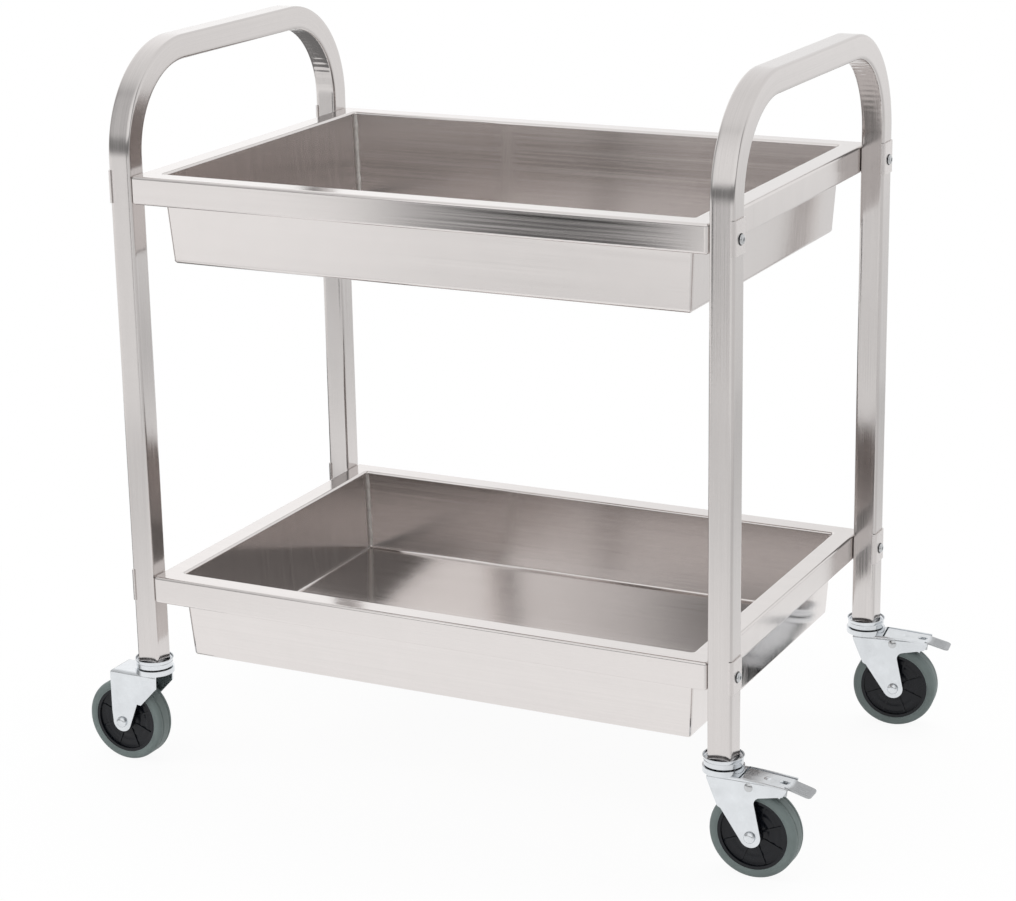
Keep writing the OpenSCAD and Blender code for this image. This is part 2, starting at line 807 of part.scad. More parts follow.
// The shoe hangs under the pedal and meets the tyre's curve when the pedal is down
module brake_shoe() {
    axle_pressed = turned(axle_at - pivot_at, pedal_droop + press_angle);
    pad_r = wheel_r + shoe_gap;
    pad_from = 8;
    pad_to = 22;
    plate_foot = pedal_rise - pedal_t;
    flange_a = shoe_rivet_a - 2 * shoe_rivet_r;
    rivet_dome = shoe_rivet_r / 2;
    web_foot = axle_pressed.y + sqrt(pow(pad_r + pedal_t / 2, 2) - pow(shoe_web_a - axle_pressed.x, 2));
    color(zinc) at_pedal() {
        across(shoe_w) {
            polygon(concat(
                arc(axle_pressed, pad_r, 90 - pad_from, 90 - pad_to, 12),
                arc(axle_pressed, pad_r + pedal_t, 90 - pad_to, 90 - pad_from, 12)
            ));
            translate([shoe_web_a, web_foot]) square([pedal_t, plate_foot - web_foot]);
            translate([flange_a, plate_foot - pedal_t])
                square([shoe_web_a + pedal_t - flange_a, pedal_t]);
        }
        translate([shoe_rivet_a, 0, plate_foot - cut])
            cylinder(r = shoe_rivet_r, h = cut + pedal_t + rivet_dome / 2);
        translate([shoe_rivet_a, 0, pedal_rise]) domed_head(4 * shoe_rivet_r, rivet_dome);
    }
}

module brake_rivet() {
    color(zinc) translate([pivot_u, 0, pivot_z]) {
        cross_hole(rivet_r, fork_out);
        for (side = [-1, 1]) {
            rotate([side * 90, 0, 0]) translate([0, 0, fork_out / 2]) domed_head(rivet_head_d, rivet_head_h);
        }
    }
}

// The parts

if (wanted("left_end_frame")) end_frame(-1);
if (wanted("right_end_frame")) end_frame(1);
if (wanted("upper_tray")) tray(upper_rim_z);
if (wanted("lower_tray")) tray(lower_rim_z);
if (wanted("upper_saddle_plates")) saddle_plates(upper_rim_z);
if (wanted("lower_saddle_plates")) saddle_plates(lower_rim_z);
if (wanted("tray_bolts")) tray_bolts();
if (wanted("tray_washers")) tray_washers();
if (wanted("tray_nuts")) tray_nuts();
for (i = [0 : 3]) {
    name = CORNERS[i];
    head_side = -side_x[i];
    if (wanted(str(name, "_leg_plug"))) at_leg(i) leg_plug();
    if (wanted(str(name, "_kingpin"))) at_leg(i) kingpin();
    if (wanted(str(name, "_upper_race"))) at_leg(i) upper_race();
    if (wanted(str(name, "_swivel_balls"))) at_caster(i) swivel_balls();
    if (wanted(str(name, "_fork"))) at_caster(i) fork(braked[i]);
    if (wanted(str(name, "_axle_bolt"))) at_caster(i) axle_bolt(head_side);
    if (wanted(str(name, "_axle_nut"))) at_caster(i) axle_nut(head_side);
    if (wanted(str(name, "_wheel_bush"))) at_caster(i) wheel_bush();
    if (wanted(str(name, "_wheel_hub"))) at_caster(i) wheel_hub();
    if (wanted(str(name, "_tyre"))) at_caster(i) tyre();
    if (braked[i] && wanted(str(name, "_brake_pedal"))) at_caster(i) brake_pedal();
    if (braked[i] && wanted(str(name, "_brake_shoe"))) at_caster(i) brake_shoe();
    if (braked[i] && wanted(str(name, "_brake_rivet"))) at_caster(i) brake_rivet();
}
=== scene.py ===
# %% [markdown]
# # A two-tier serving trolley in brushed stainless steel
# The CAD model gives every solid its size and place. This script dresses it: brushed steel,
# bright zinc, black plastic and grey rubber, and the fine shapes that a plain solid leaves out,
# such as welded tub corners, the ripples inside a bent tube, and the threads of the bolts.
# Everything is in metres, in the CAD model's own frame: +X to the braked end, +Y back, +Z up.

# %% Load the frame
import json
import math

import bpy
import numpy as np
from mathutils import Euler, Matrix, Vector


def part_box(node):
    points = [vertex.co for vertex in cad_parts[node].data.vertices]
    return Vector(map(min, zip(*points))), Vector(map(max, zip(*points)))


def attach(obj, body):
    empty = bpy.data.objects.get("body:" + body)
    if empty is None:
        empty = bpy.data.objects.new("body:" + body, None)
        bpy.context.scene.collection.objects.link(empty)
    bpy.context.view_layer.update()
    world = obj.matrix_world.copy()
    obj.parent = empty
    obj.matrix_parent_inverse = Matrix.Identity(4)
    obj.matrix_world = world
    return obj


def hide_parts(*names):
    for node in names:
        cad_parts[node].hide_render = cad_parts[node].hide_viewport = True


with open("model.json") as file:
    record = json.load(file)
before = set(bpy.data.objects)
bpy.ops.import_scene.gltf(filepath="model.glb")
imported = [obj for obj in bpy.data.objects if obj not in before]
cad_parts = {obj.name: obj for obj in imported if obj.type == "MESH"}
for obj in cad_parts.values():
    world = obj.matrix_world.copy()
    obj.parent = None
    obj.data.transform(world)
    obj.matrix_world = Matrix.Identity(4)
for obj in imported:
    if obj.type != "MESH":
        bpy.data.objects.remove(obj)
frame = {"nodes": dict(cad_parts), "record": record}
nodes, record = frame["nodes"], frame["record"]
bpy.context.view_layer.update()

# %% [markdown]
# ## The camera
# The photograph was taken from the right and a little above, from about three metres away. The
# camera's place, turn and focal length were worked out from the trolley's own corners.

# %% The camera
IMAGE_W = 1016
FOCAL_PX = 2736.2
CAMERA_PLACE = (1.3596, -2.7559, 1.2856)
CAMERA_TURN = (73.304, 0.984, 26.203)
camera_data = bpy.data.cameras.new("camera")
camera_data.sensor_fit = "HORIZONTAL"
camera_data.sensor_width = 36.0
camera_data.lens = FOCAL_PX / IMAGE_W * camera_data.sensor_width
camera_data.clip_end = 200.0
camera = bpy.data.objects.new("camera", camera_data)
bpy.context.scene.collection.objects.link(camera)
camera.location = CAMERA_PLACE
camera.rotation_euler = Euler([math.radians(angle) for angle in CAMERA_TURN], "XYZ")
bpy.context.scene.camera = camera
print("camera:", round(camera_data.lens, 1), "mm lens at", CAMERA_PLACE)

# %% [markdown]
# ## The room
# Steel shows what stands around it, so the room matters as much as the metal. It is painted by
# direction: soft-edged regions are laid one over another, each with its own brightness.
#
# Behind the trolley the room is bright, which whitens the rims, and in front of it, where the
# camera stands, it is dim, which gives the deep trays their dark walls. Higher up in front it
# is brighter again, but only for metal that mirrors it directly, so that light which goes from
# wall to wall inside a tub stays dark. Two panels stand in front on the left: a black flag,
# low down, which the aprons mirror as their dark band, and a white window above it. To the
# camera the room is plain white, and the floor fades into it, so no horizon shows.

# %% Helpers for values that vary
def feed(tree, item, socket):
    """Joins another socket to a socket, or puts a plain value into it."""
    if isinstance(item, bpy.types.NodeSocket):
        tree.links.new(item, socket)
    else:
        socket.default_value = item


def calc(tree, operation, a, b=0.0):
    """One step of arithmetic. Each of a and b may be a number or a socket."""
    node = tree.nodes.new("ShaderNodeMath")
    node.operation = operation
    feed(tree, a, node.inputs[0])
    feed(tree, b, node.inputs[1])
    return node.outputs[0]


def product(tree, a, b):
    """Two values multiplied."""
    return calc(tree, "MULTIPLY", a, b)


def blend_values(tree, factor, a, b):
    """a where the factor is 0, b where it is 1. Each may be a number or a socket."""
    node = tree.nodes.new("ShaderNodeMix")
    for label, item in (("Factor", factor), ("A", a), ("B", b)):
        feed(tree, item, node.inputs[label])
    return node.outputs["Result"]


def soft_step(tree, value, low, high, to_low=0.0, to_high=1.0):
    """Runs smoothly from to_low to to_high while the value goes from low to high. With low
    above high, it does so while the value falls."""
    node = tree.nodes.new("ShaderNodeMapRange")
    node.interpolation_type = "SMOOTHSTEP"
    ends = {"From Min": low, "From Max": high, "To Min": to_low, "To Max": to_high}
    for label, number in ends.items():
        node.inputs[label].default_value = number
    tree.links.new(value, node.inputs["Value"])
    return node.outputs[0]


def region(tree, *steps):
    """A mask that is 1 only where all its soft steps are. Each is a value, low and high."""
    mask = soft_step(tree, *steps[0])
    for step in steps[1:]:
        mask = product(tree, mask, soft_step(tree, *step))
    return mask


# %% The room
scene = bpy.context.scene
scene.view_settings.view_transform = "Standard"
world = bpy.data.worlds.new("studio")
scene.world = world
world.use_nodes = True
world.cycles.sampling_method = "NONE"
room = world.node_tree
room.nodes.clear()
out = room.nodes.new("ShaderNodeOutputWorld")
background = room.nodes.new("ShaderNodeBackground")
coords = room.nodes.new("ShaderNodeTexCoord")
split = room.nodes.new("ShaderNodeSeparateXYZ")
room.links.new(coords.outputs["Generated"], split.inputs[0])
path = room.nodes.new("ShaderNodeLightPath")

# The three parts of a direction, each from -1 to 1.
right, back, up = split.outputs

# Brightness. Where there are two numbers, the first is at the left of the region.
FRONT, BEHIND, FAR_FLOOR, CEILING, FLAG, TO_CAMERA = 0.28, 1.15, 1.04, 0.95, 0.01, 1.0
SIDES, AHEAD, FLOOR_LIGHT, WINDOW = (1.0, 0.84), (0.6, 1.1), (1.08, 0.82), (1.3, 0.95)

# A ray's depth is 2 where metal mirrors the room directly, as the room counts as a step.
DIRECT = (path.outputs["Ray Depth"], 2.9, 2.1)

light = soft_step(room, back, -0.45, 0.30, FRONT, BEHIND)
light = product(room, light, soft_step(room, right, -0.52, -0.30, *SIDES))

ahead = region(room, (back, -0.40, -0.52), (up, 0.10, 0.22), DIRECT)
light = blend_values(room, ahead, light, soft_step(room, right, -0.47, -0.36, *AHEAD))

light = blend_values(room, soft_step(room, up, 0.55, 0.92), light, CEILING)

below = soft_step(room, up, -0.02, -0.16)
light = blend_values(room, below, light, soft_step(room, right, -0.5, 0.35, *FLOOR_LIGHT))

far_floor = region(room, (back, 0.3, 0.6), (up, -0.23, -0.13), (up, 0.0, -0.06))
light = blend_values(room, far_floor, light, FAR_FLOOR)

window = region(room, (right, -0.49, -0.46), (right, -0.355, -0.385),
                (up, 0.06, 0.14), (back, -0.5, -0.7))
light = blend_values(room, window, light, soft_step(room, right, -0.44, -0.41, *WINDOW))

flag = region(room, (right, -0.495, -0.44), (right, -0.362, -0.392),
              (back, -0.70, -0.82), (up, -0.285, -0.24), (up, -0.06, -0.11))
light = blend_values(room, flag, light, FLAG)

light = blend_values(room, path.outputs["Is Camera Ray"], light, TO_CAMERA)
room.links.new(light, background.inputs["Color"])
room.links.new(background.outputs[0], out.inputs[0])
print("room:", len(room.nodes), "nodes")

# %% [markdown]
# ## The floor and the lamps
# The floor is a round sheet. The camera and metal see it glow near white, and a little less
# close to the trolley, where the shadows show. As metal mirrors it, it is dimmer far out and
# on the right, and it has a dark patch beyond the left end. Two large soft lamps light what
# isn't metal, such as tyres and hubs, and cast the soft shadow.

# %% A helper for new materials
def new_material(name):
    """A material, its nodes' tree and its shader."""
    material = bpy.data.materials.new(name)
    material.use_nodes = True
    return material, material.node_tree, material.node_tree.nodes["Principled BSDF"]


# %% The floor
FLOOR_R, FLOOR_SIDES = 1.9, 96
FLOOR_WHITE, FLOOR_ROUGHNESS, PATCH = 0.93, 0.8, 0.22
ring = np.linspace(0, 2 * math.pi, FLOOR_SIDES + 1)[:-1]
floor_mesh = bpy.data.meshes.new("floor")
floor_mesh.from_pydata(
    np.stack([FLOOR_R * np.cos(ring), FLOOR_R * np.sin(ring), 0 * ring], 1).tolist(),
    [], [list(range(FLOOR_SIDES))],
)
floor_paint, t, shader = new_material("floor")
shader.inputs["Base Color"].default_value = (FLOOR_WHITE, FLOOR_WHITE, FLOOR_WHITE, 1)
shader.inputs["Roughness"].default_value = FLOOR_ROUGHNESS
glow = t.nodes.new("ShaderNodeEmission")
place = t.nodes.new("ShaderNodeTexCoord")
reach = t.nodes.new("ShaderNodeVectorMath")
reach.operation = "LENGTH"
t.links.new(place.outputs["Object"], reach.inputs[0])
distance = reach.outputs["Value"]
away = soft_step(t, distance, 0.35, 1.0, 0.92, 1.0)
seen = t.nodes.new("ShaderNodeLightPath")
spot = t.nodes.new("ShaderNodeSeparateXYZ")
t.links.new(place.outputs["Object"], spot.inputs[0])
mirrored = product(t, soft_step(t, spot.outputs["X"], 0.3, 0.8, 1.0, 0.82),
                   soft_step(t, distance, 0.7, 1.6, 1.07, 0.88))
patch = region(t, (spot.outputs["X"], -0.56, -0.68), (spot.outputs["Y"], -0.45, -0.30))
mirrored = blend_values(t, patch, mirrored, PATCH)
strength = blend_values(t, seen.outputs["Is Camera Ray"], mirrored, TO_CAMERA)
t.links.new(strength, glow.inputs["Strength"])
sight = calc(t, "MAXIMUM", seen.outputs["Is Camera Ray"], seen.outputs["Is Glossy Ray"])
fade = product(t, away, sight)
both = t.nodes.new("ShaderNodeMixShader")
t.links.new(fade, both.inputs[0])
t.links.new(shader.outputs[0], both.inputs[1])
t.links.new(glow.outputs[0], both.inputs[2])
t.links.new(both.outputs[0], t.nodes["Material Output"].inputs["Surface"])
floor_mesh.materials.append(floor_paint)
floor = bpy.data.objects.new("floor", floor_mesh)
scene.collection.objects.link(floor)
print("floor:", round(2 * FLOOR_R, 1), "m wide")


# %% Lamps
def soft_lamp(name, place, aim, size, power):
    """A square lamp at a place, turned to an aim. Metal doesn't mirror it, because a lamp's
    hard image on a bent tube would be a white patch."""
    lamp = bpy.data.lights.new(name, "AREA")
    lamp.size = size
    lamp.energy = power
    holder = bpy.data.objects.new(name, lamp)
    holder.location = place
    holder.rotation_mode = "QUATERNION"
    holder.rotation_quaternion = (Vector(aim) - Vector(place)).to_track_quat("-Z", "Y")
    holder.visible_glossy = False
    scene.collection.objects.link(holder)


soft_lamp("lamp_left", (-2.2, -1.6, 2.2), (0, 0, 0.4), 1.5, 20)
soft_lamp("lamp_above", (0.3, 0.6, 2.8), (0, 0, 0.5), 1.6, 14)
print("lamps:", len(bpy.data.lights))

# %% [markdown]
# ## Shared surface effects
# Brushed steel is scratched in one direction, so its grain is a noise that is stretched along
# that direction. Sheet that has been bent and welded is never quite flat either: a slow, soft
# wave makes its reflections wander. Both effects are node groups, shared by all the metals.

# %% Helpers for node groups
def new_group(name, inputs, outputs):
    """An empty shader group with the given sockets, and its input and output nodes."""
    group = bpy.data.node_groups.new(name, "ShaderNodeTree")
    for label, kind, value in inputs:
        group.interface.new_socket(label, in_out="INPUT", socket_type=kind).default_value = value
    for label in outputs:
        group.interface.new_socket(label, in_out="OUTPUT", socket_type="NodeSocketFloat")
    return group, group.nodes.new("NodeGroupInput"), group.nodes.new("NodeGroupOutput")


def spread(tree, value, low, high):
    """Turns a 0 to 1 value into one that runs from low to high."""
    node = tree.nodes.new("ShaderNodeMapRange")
    node.inputs["To Min"].default_value = low
    node.inputs["To Max"].default_value = high
    tree.links.new(value, node.inputs["Value"])
    return node.outputs[0]


def noise(tree, place, scale, detail, roughness=0.5):
    """A cloudy value from 0 to 1, read at a place."""
    node = tree.nodes.new("ShaderNodeTexNoise")
    feed(tree, scale, node.inputs["Scale"])
    node.inputs["Detail"].default_value = detail
    node.inputs["Roughness"].default_value = roughness
    tree.links.new(place, node.inputs["Vector"])
    return node.outputs[0]


# %% Brushed grain
grain, grain_in, grain_out = new_group(
    "brushed grain",
    [("Vector", "NodeSocketVector", (0, 0, 0)), ("Stretch", "NodeSocketVector", (1, 1, 1)),
     ("Rough low", "NodeSocketFloat", 0.2), ("Rough high", "NodeSocketFloat", 0.4)],
    ["Tone", "Roughness", "Height"],
)
stretched = grain.nodes.new("ShaderNodeVectorMath")
stretched.operation = "MULTIPLY"
grain.links.new(grain_in.outputs["Vector"], stretched.inputs[0])
grain.links.new(grain_in.outputs["Stretch"], stretched.inputs[1])
fine = noise(grain, stretched.outputs[0], 1.0, 3)
broad = noise(grain, stretched.outputs[0], 0.17, 2)
both = calc(grain, "ADD", spread(grain, fine, 0, 0.6), spread(grain, broad, 0, 0.4))
rough = grain.nodes.new("ShaderNodeMapRange")
rough.inputs["From Min"].default_value, rough.inputs["From Max"].default_value = 0.3, 0.7
grain.links.new(both, rough.inputs["Value"])
grain.links.new(grain_in.outputs["Rough low"], rough.inputs["To Min"])
grain.links.new(grain_in.outputs["Rough high"], rough.inputs["To Max"])
grain.links.new(both, grain_out.inputs["Tone"])
grain.links.new(rough.outputs[0], grain_out.inputs["Roughness"])
grain.links.new(fine, grain_out.inputs["Height"])
print(grain.name, "has", len(grain.nodes), "nodes")

# %% Slow waves and handling marks
waves, waves_in, waves_out = new_group(
    "slow waves",
    [("Vector", "NodeSocketVector", (0, 0, 0)), ("Scale", "NodeSocketFloat", 5.0)],
    ["Tone", "Height"],
)
slow = noise(waves, waves_in.outputs["Vector"], waves_in.outputs["Scale"], 1)
marks = noise(waves, waves_in.outputs["Vector"], 38, 5, roughness=0.7)
waves.links.new(marks, waves_out.inputs["Tone"])
waves.links.new(slow, waves_out.inputs["Height"])
print(waves.name, "has", len(waves.nodes), "nodes")


# %% The grain of folded sheet
END_FACING = 0.7


def turned_up_ends(tree, vector):
    """The grain runs along X, and turns up with the sheet where it is folded up at the ends:
    on faces that look more along X than END_FACING, the place's X and Z change over. Gives the
    place to read the grain from, and the grain's direction."""
    n, l = tree.nodes, tree.links
    split = n.new("ShaderNodeSeparateXYZ")
    l.new(vector, split.inputs[0])
    swapped = n.new("ShaderNodeCombineXYZ")
    for a, b in ((0, 2), (1, 1), (2, 0)):
        l.new(split.outputs[a], swapped.inputs[b])
    face = n.new("ShaderNodeNewGeometry")
    facing = n.new("ShaderNodeSeparateXYZ")
    l.new(face.outputs["True Normal"], facing.inputs[0])
    at_end = calc(tree, "GREATER_THAN", calc(tree, "ABSOLUTE", facing.outputs[0]), END_FACING)
    picks = []
    for flat, ended in ((vector, swapped.outputs[0]), ((1, 0, 0), (0, 0, 1))):
        pick = n.new("ShaderNodeMix")
        pick.data_type = "VECTOR"
        l.new(at_end, pick.inputs["Factor"])
        # These two are the node's A and B for vectors.
        feed(tree, flat, pick.inputs[4])
        feed(tree, ended, pick.inputs[5])
        picks.append(pick.outputs[1])
    return picks


# %% Helpers for colour and bump
def tinted(tree, colour, factor):
    """A colour times a factor that varies."""
    node = tree.nodes.new("ShaderNodeVectorMath")
    node.operation = "SCALE"
    node.inputs[0].default_value = colour
    tree.links.new(factor, node.inputs["Scale"])
    return node.outputs[0]


def bump(tree, height, distance, under=None):
    """A bump whose height runs from 0 to a distance, laid over another bump if one is given."""
    node = tree.nodes.new("ShaderNodeBump")
    node.inputs["Distance"].default_value = distance
    tree.links.new(height, node.inputs["Height"])
    if under is not None:
        tree.links.new(under, node.inputs["Normal"])
    return node.outputs[0]


# %% A helper for finished metals
def metal(name, colour, stretch, rough_low, rough_high, tone=(0.93, 1.05), marks=(0.97, 1.02),
          grain_height=0.00002, wave_height=0.0006, wave_scale=5.0,
          uv=False, folded=False, anisotropic=0.0):
    """A bare metal: colour times grain and marks, roughness from the grain, bump from both.
    The grain follows the piece's UVs with uv, and the sheet's folds with folded."""
    material, tree, shader = new_material(name)
    n, l = tree.nodes, tree.links
    shader.inputs["Metallic"].default_value = 1.0
    shader.inputs["Anisotropic"].default_value = anisotropic
    # Scratches stretch a highlight across themselves, a quarter turn from the tangent.
    shader.inputs["Anisotropic Rotation"].default_value = 0.25 if anisotropic else 0.0
    place = n.new("ShaderNodeTexCoord")
    vector = place.outputs["Object"]
    along = place.outputs["UV"] if uv else vector
    if folded:
        along, tangent = turned_up_ends(tree, vector)
        l.new(tangent, shader.inputs["Tangent"])
    elif uv:
        tangent = n.new("ShaderNodeTangent")
        tangent.direction_type, tangent.uv_map = "UV_MAP", "along"
        l.new(tangent.outputs[0], shader.inputs["Tangent"])
    brushed = n.new("ShaderNodeGroup")
    brushed.node_tree = grain
    brushed.inputs["Stretch"].default_value = stretch
    brushed.inputs["Rough low"].default_value = rough_low
    brushed.inputs["Rough high"].default_value = rough_high
    l.new(along, brushed.inputs["Vector"])
    wavy = n.new("ShaderNodeGroup")
    wavy.node_tree = waves
    wavy.inputs["Scale"].default_value = wave_scale
    l.new(vector, wavy.inputs["Vector"])
    shade = product(tree, spread(tree, brushed.outputs["Tone"], *tone),
                    spread(tree, wavy.outputs["Tone"], *marks))
    l.new(tinted(tree, colour, shade), shader.inputs["Base Color"])
    l.new(brushed.outputs["Roughness"], shader.inputs["Roughness"])
    slow_bump = bump(tree, wavy.outputs["Height"], wave_height)
    fine_bump = bump(tree, brushed.outputs["Height"], grain_height, slow_bump)
    l.new(fine_bump, shader.inputs["Normal"])
    return material


# %% [markdown]
# ## The finishes
# The tube is brushed along its own length, and the tray sheet along the long side. The caster
# forks are zinc plated: uneven, brighter and a little blue. Welds are rough and pitted, and
# bolts and nuts smooth and dark. Hubs are smooth black plastic, and the tyres grey rubber with
# a trace of green. All metals come from one helper, so only their numbers differ.

# %% Steels
STEEL = (0.735, 0.70, 0.686)
tube_steel = metal("tube_steel", (0.655, 0.625, 0.613), (6, 700, 1), 0.1, 0.24, tone=(0.84, 1.12),
                   wave_height=0.0005, wave_scale=4, uv=True, anisotropic=0.6)
sheet_steel = metal("sheet_steel", STEEL, (4, 560, 560), 0.09, 0.19, tone=(0.91, 1.07),
                    wave_height=0.0008, wave_scale=3.2, folded=True, anisotropic=0.7)
plate_steel = metal("plate_steel", STEEL, (300, 300, 12), 0.22, 0.36, wave_scale=30)
weld_steel = metal("weld_steel", (0.84, 0.81, 0.78), (330, 330, 330), 0.34, 0.6,
                   tone=(0.3, 1.45), grain_height=0.0003, wave_scale=60)
zinc = metal("zinc", (0.76, 0.785, 0.81), (60, 60, 60), 0.14, 0.26, tone=(0.9, 1.04),
             grain_height=0.00003, wave_height=0.0016, wave_scale=24, marks=(0.80, 1.10))
bright_steel = metal("bright_steel", (0.56, 0.57, 0.58), (160, 160, 160), 0.14, 0.26,
                     wave_scale=80, wave_height=0.0001)
bearing_steel = metal("bearing_steel", (0.60, 0.60, 0.60), (200, 200, 200), 0.1, 0.2,
                      wave_scale=60, wave_height=0.0001)
print("metals:", tube_steel.name, sheet_steel.name, plate_steel.name, weld_steel.name,
      zinc.name, bright_steel.name, bearing_steel.name)

# %% The foot tabs: duller from wear, with a painted dark reflection
TAB_FROM, TAB_FULL = 0.041, 0.046
# The tab's colour is darkened as a painted dark reflection. Its roughness is duller from wear.
TAB_DULLED_AND_PAINTED_DARK = {"Base Color": (0.44, 0.45, 0.46, 1), "Roughness": 0.42}


def tab_dulled_and_painted_dark(name, pivot):
    """The zinc of a pedal. Its foot tab is duller from the wear of shoes, and darker in blotches
    as a painted dark reflection. The distance from the pivot tells where the tab starts."""
    material = zinc.copy()
    material.name = name
    tree = material.node_tree
    n, l = tree.nodes, tree.links
    shader = n["Principled BSDF"]
    place = n.new("ShaderNodeTexCoord").outputs["Object"]
    reach = n.new("ShaderNodeVectorMath")
    reach.operation = "DISTANCE"
    reach.inputs[1].default_value = pivot
    l.new(place, reach.inputs[0])
    on_tab = soft_step(tree, reach.outputs["Value"], TAB_FROM, TAB_FULL)
    # Darker in blotches on the tab, a painted dark reflection, together with duller roughness
    # from wear.
    dulled_and_painted_dark = product(tree, on_tab, spread(tree, noise(tree, place, 160, 4), 0.7, 1.3))
    for label, value in TAB_DULLED_AND_PAINTED_DARK.items():
        mix = n.new("ShaderNodeMix")
        mix.data_type = "RGBA" if label == "Base Color" else "FLOAT"
        # A, B and the result have other numbers for colours than for plain values.
        before, after, result = (6, 7, 2) if label == "Base Color" else (2, 3, 0)
        source = shader.inputs[label].links[0].from_socket
        l.new(dulled_and_painted_dark, mix.inputs[0])
        l.new(source, mix.inputs[before])
        mix.inputs[after].default_value = value
        l.new(mix.outputs[result], shader.inputs[label])
    return material


# %% Plastic and rubber
def moulded(name, colour, roughness, pore_scale, depth, gloss=0.5):
    """A moulded surface: cloudy colour, roughness that varies, and a fine grained bump."""
    material, tree, shader = new_material(name)
    shader.inputs["Specular IOR Level"].default_value = gloss
    place = tree.nodes.new("ShaderNodeTexCoord").outputs["Object"]
    cloud, pores = noise(tree, place, 45, 4), noise(tree, place, pore_scale, 2)
    shade = tinted(tree, colour, spread(tree, cloud, 0.75, 1.3))
    tree.links.new(shade, shader.inputs["Base Color"])
    rough = spread(tree, cloud, roughness - 0.08, roughness + 0.1)
    tree.links.new(rough, shader.inputs["Roughness"])
    tree.links.new(bump(tree, pores, depth), shader.inputs["Normal"])
    return material


black_plastic = moulded("black_plastic", (0.005, 0.006, 0.009), 0.25, 900, 0.00005, gloss=0.28)
rubber = moulded("grey_rubber", (0.155, 0.19, 0.185), 0.55, 1400, 0.00012)

# %% Give every CAD node its finish
FINISH = {
    "stainless_tube": tube_steel, "stainless_sheet": sheet_steel, "stainless_plate": plate_steel,
    "fastener_steel": bright_steel, "zinc_plated_steel": zinc, "bearing_steel": bearing_steel,
    "black_plastic": black_plastic, "grey_rubber": rubber,
}
slot_of = {part["node"]: part["material_slot"] for part in record["subparts"]}
bodies, joints = record["behaviour"]["bodies"], record["behaviour"]["joints"]
body_of_node = {name: body for body, names in bodies.items() for name in names}
for name, node in nodes.items():
    if not node.material_slots:
        node.data.materials.append(FINISH[slot_of[name]])
    for material_slot in node.material_slots:
        material_slot.material = FINISH[slot_of[name]]
for joint in joints:
    if joint["name"].endswith("_brake_press"):
        pedal = joint["child"].removesuffix("_pedal") + "_brake_pedal"
        nodes[pedal].material_slots[0].material = tab_dulled_and_painted_dark(pedal + "_zinc", joint["pos_m"])
print(len(nodes), "CAD nodes have their finish")

# %% [markdown]
# ## Surfaces from arrays
# Each new piece is a grid of points that is worked out with numpy and then put into a mesh.
# One helper joins such grids into one object, finds the quads, and sets its finish and body.

# %% Grids to meshes
def grid_quads(rows, cols, wrap_rows=False, wrap_cols=False, flip=False):
    """Corner numbers of the quads of a rows x cols grid, with the rows or columns closed up."""
    r = np.arange(rows if wrap_rows else rows - 1)
    c = np.arange(cols if wrap_cols else cols - 1)
    r, c = (a.ravel() for a in np.meshgrid(r, c, indexing="ij"))
    r2, c2 = (r + 1) % rows, (c + 1) % cols
    quads = np.stack([r * cols + c, r * cols + c2, r2 * cols + c2, r2 * cols + c], 1)
    return quads[:, ::-1] if flip else quads


def add_piece(name, grids, material, body, sharp=40.0, seam=0.0, fills=()):
    """Makes one object of several (points, quads, uv) grids. uv may be None. The quads that
    close a grid up have their low V raised by the seam, the whole length round. The fills are
    flat faces of many corners, given by their points' numbers."""
    points, quads, uvs, start = [], [], [], 0
    for p, q, uv in grids:
        p = np.asarray(p, float).reshape(-1, 3)
        points.append(p)
        quads.append(q + start)
        uvs.append(np.zeros((len(p), 2)) if uv is None else np.asarray(uv).reshape(-1, 2))
        start += len(p)
    points, quads, uvs = np.concatenate(points), np.concatenate(quads), np.concatenate(uvs)
    mesh = bpy.data.meshes.new(name)
    mesh.from_pydata(points.tolist(), [], quads.tolist() + [list(fill) for fill in fills])
    layer = mesh.uv_layers.new(name="along")
    corner_uv = uvs[quads]
    v = corner_uv[..., 1]
    closing = np.ptp(v, axis=1) > 0.5 * max(np.ptp(uvs[:, 1]), 1e-9)
    low_side = closing[:, None] & (v < v.mean(1, keepdims=True))
    corner_uv[..., 1] = np.where(low_side, v + seam, v)
    filled = np.zeros(2 * sum(len(fill) for fill in fills))
    layer.data.foreach_set("uv", np.concatenate([corner_uv.ravel(), filled]).astype(np.float32))
    mesh.materials.append(material)
    mesh.shade_smooth()
    mesh.set_sharp_from_angle(angle=math.radians(sharp))
    piece = bpy.data.objects.new(name, mesh)
    scene.collection.objects.link(piece)
    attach(piece, body)
    return piece


# %% [markdown]
# ## The end frames
# Each end of the trolley is one square tube, bent twice. The bending machine leaves its marks:
# the inner wall of the bend sinks in a little and gets a row of fine ripples. So the tube is
# a rounded square carried along its path, and the inner wall is moved inwards in the bends.
# The second number of each point's UV runs along the tube, which lets the grain follow it.

# %% Sizes read from the frame
low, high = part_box("left_end_frame")
TUBE = high.x - low.x
LEG_FOOT, HANDLE_TOP = low.z, high.z
FRONT_Y, BACK_Y = low.y, high.y
CENTRE_Y = (FRONT_Y + BACK_Y) / 2
FRAME_X = {"left": (low.x + high.x) / 2,
           "right": sum(b.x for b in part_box("right_end_frame")) / 2}
BEND_R, TUBE_WALL, CORNER_R = 0.111, 0.0015, 0.003
LEG_STEPS, BEND_STEPS, BAR_STEPS = 40, 150, 20
# In a bend the inner wall sinks by DIP, and by up to RIPPLE more at each ripple.
DIP, RIPPLE, RIPPLE_STEP = 0.0006, 0.00065, 0.0085
print("tube", round(TUBE * 1000, 2), "mm, foot at", LEG_FOOT, "top at", HANDLE_TOP)


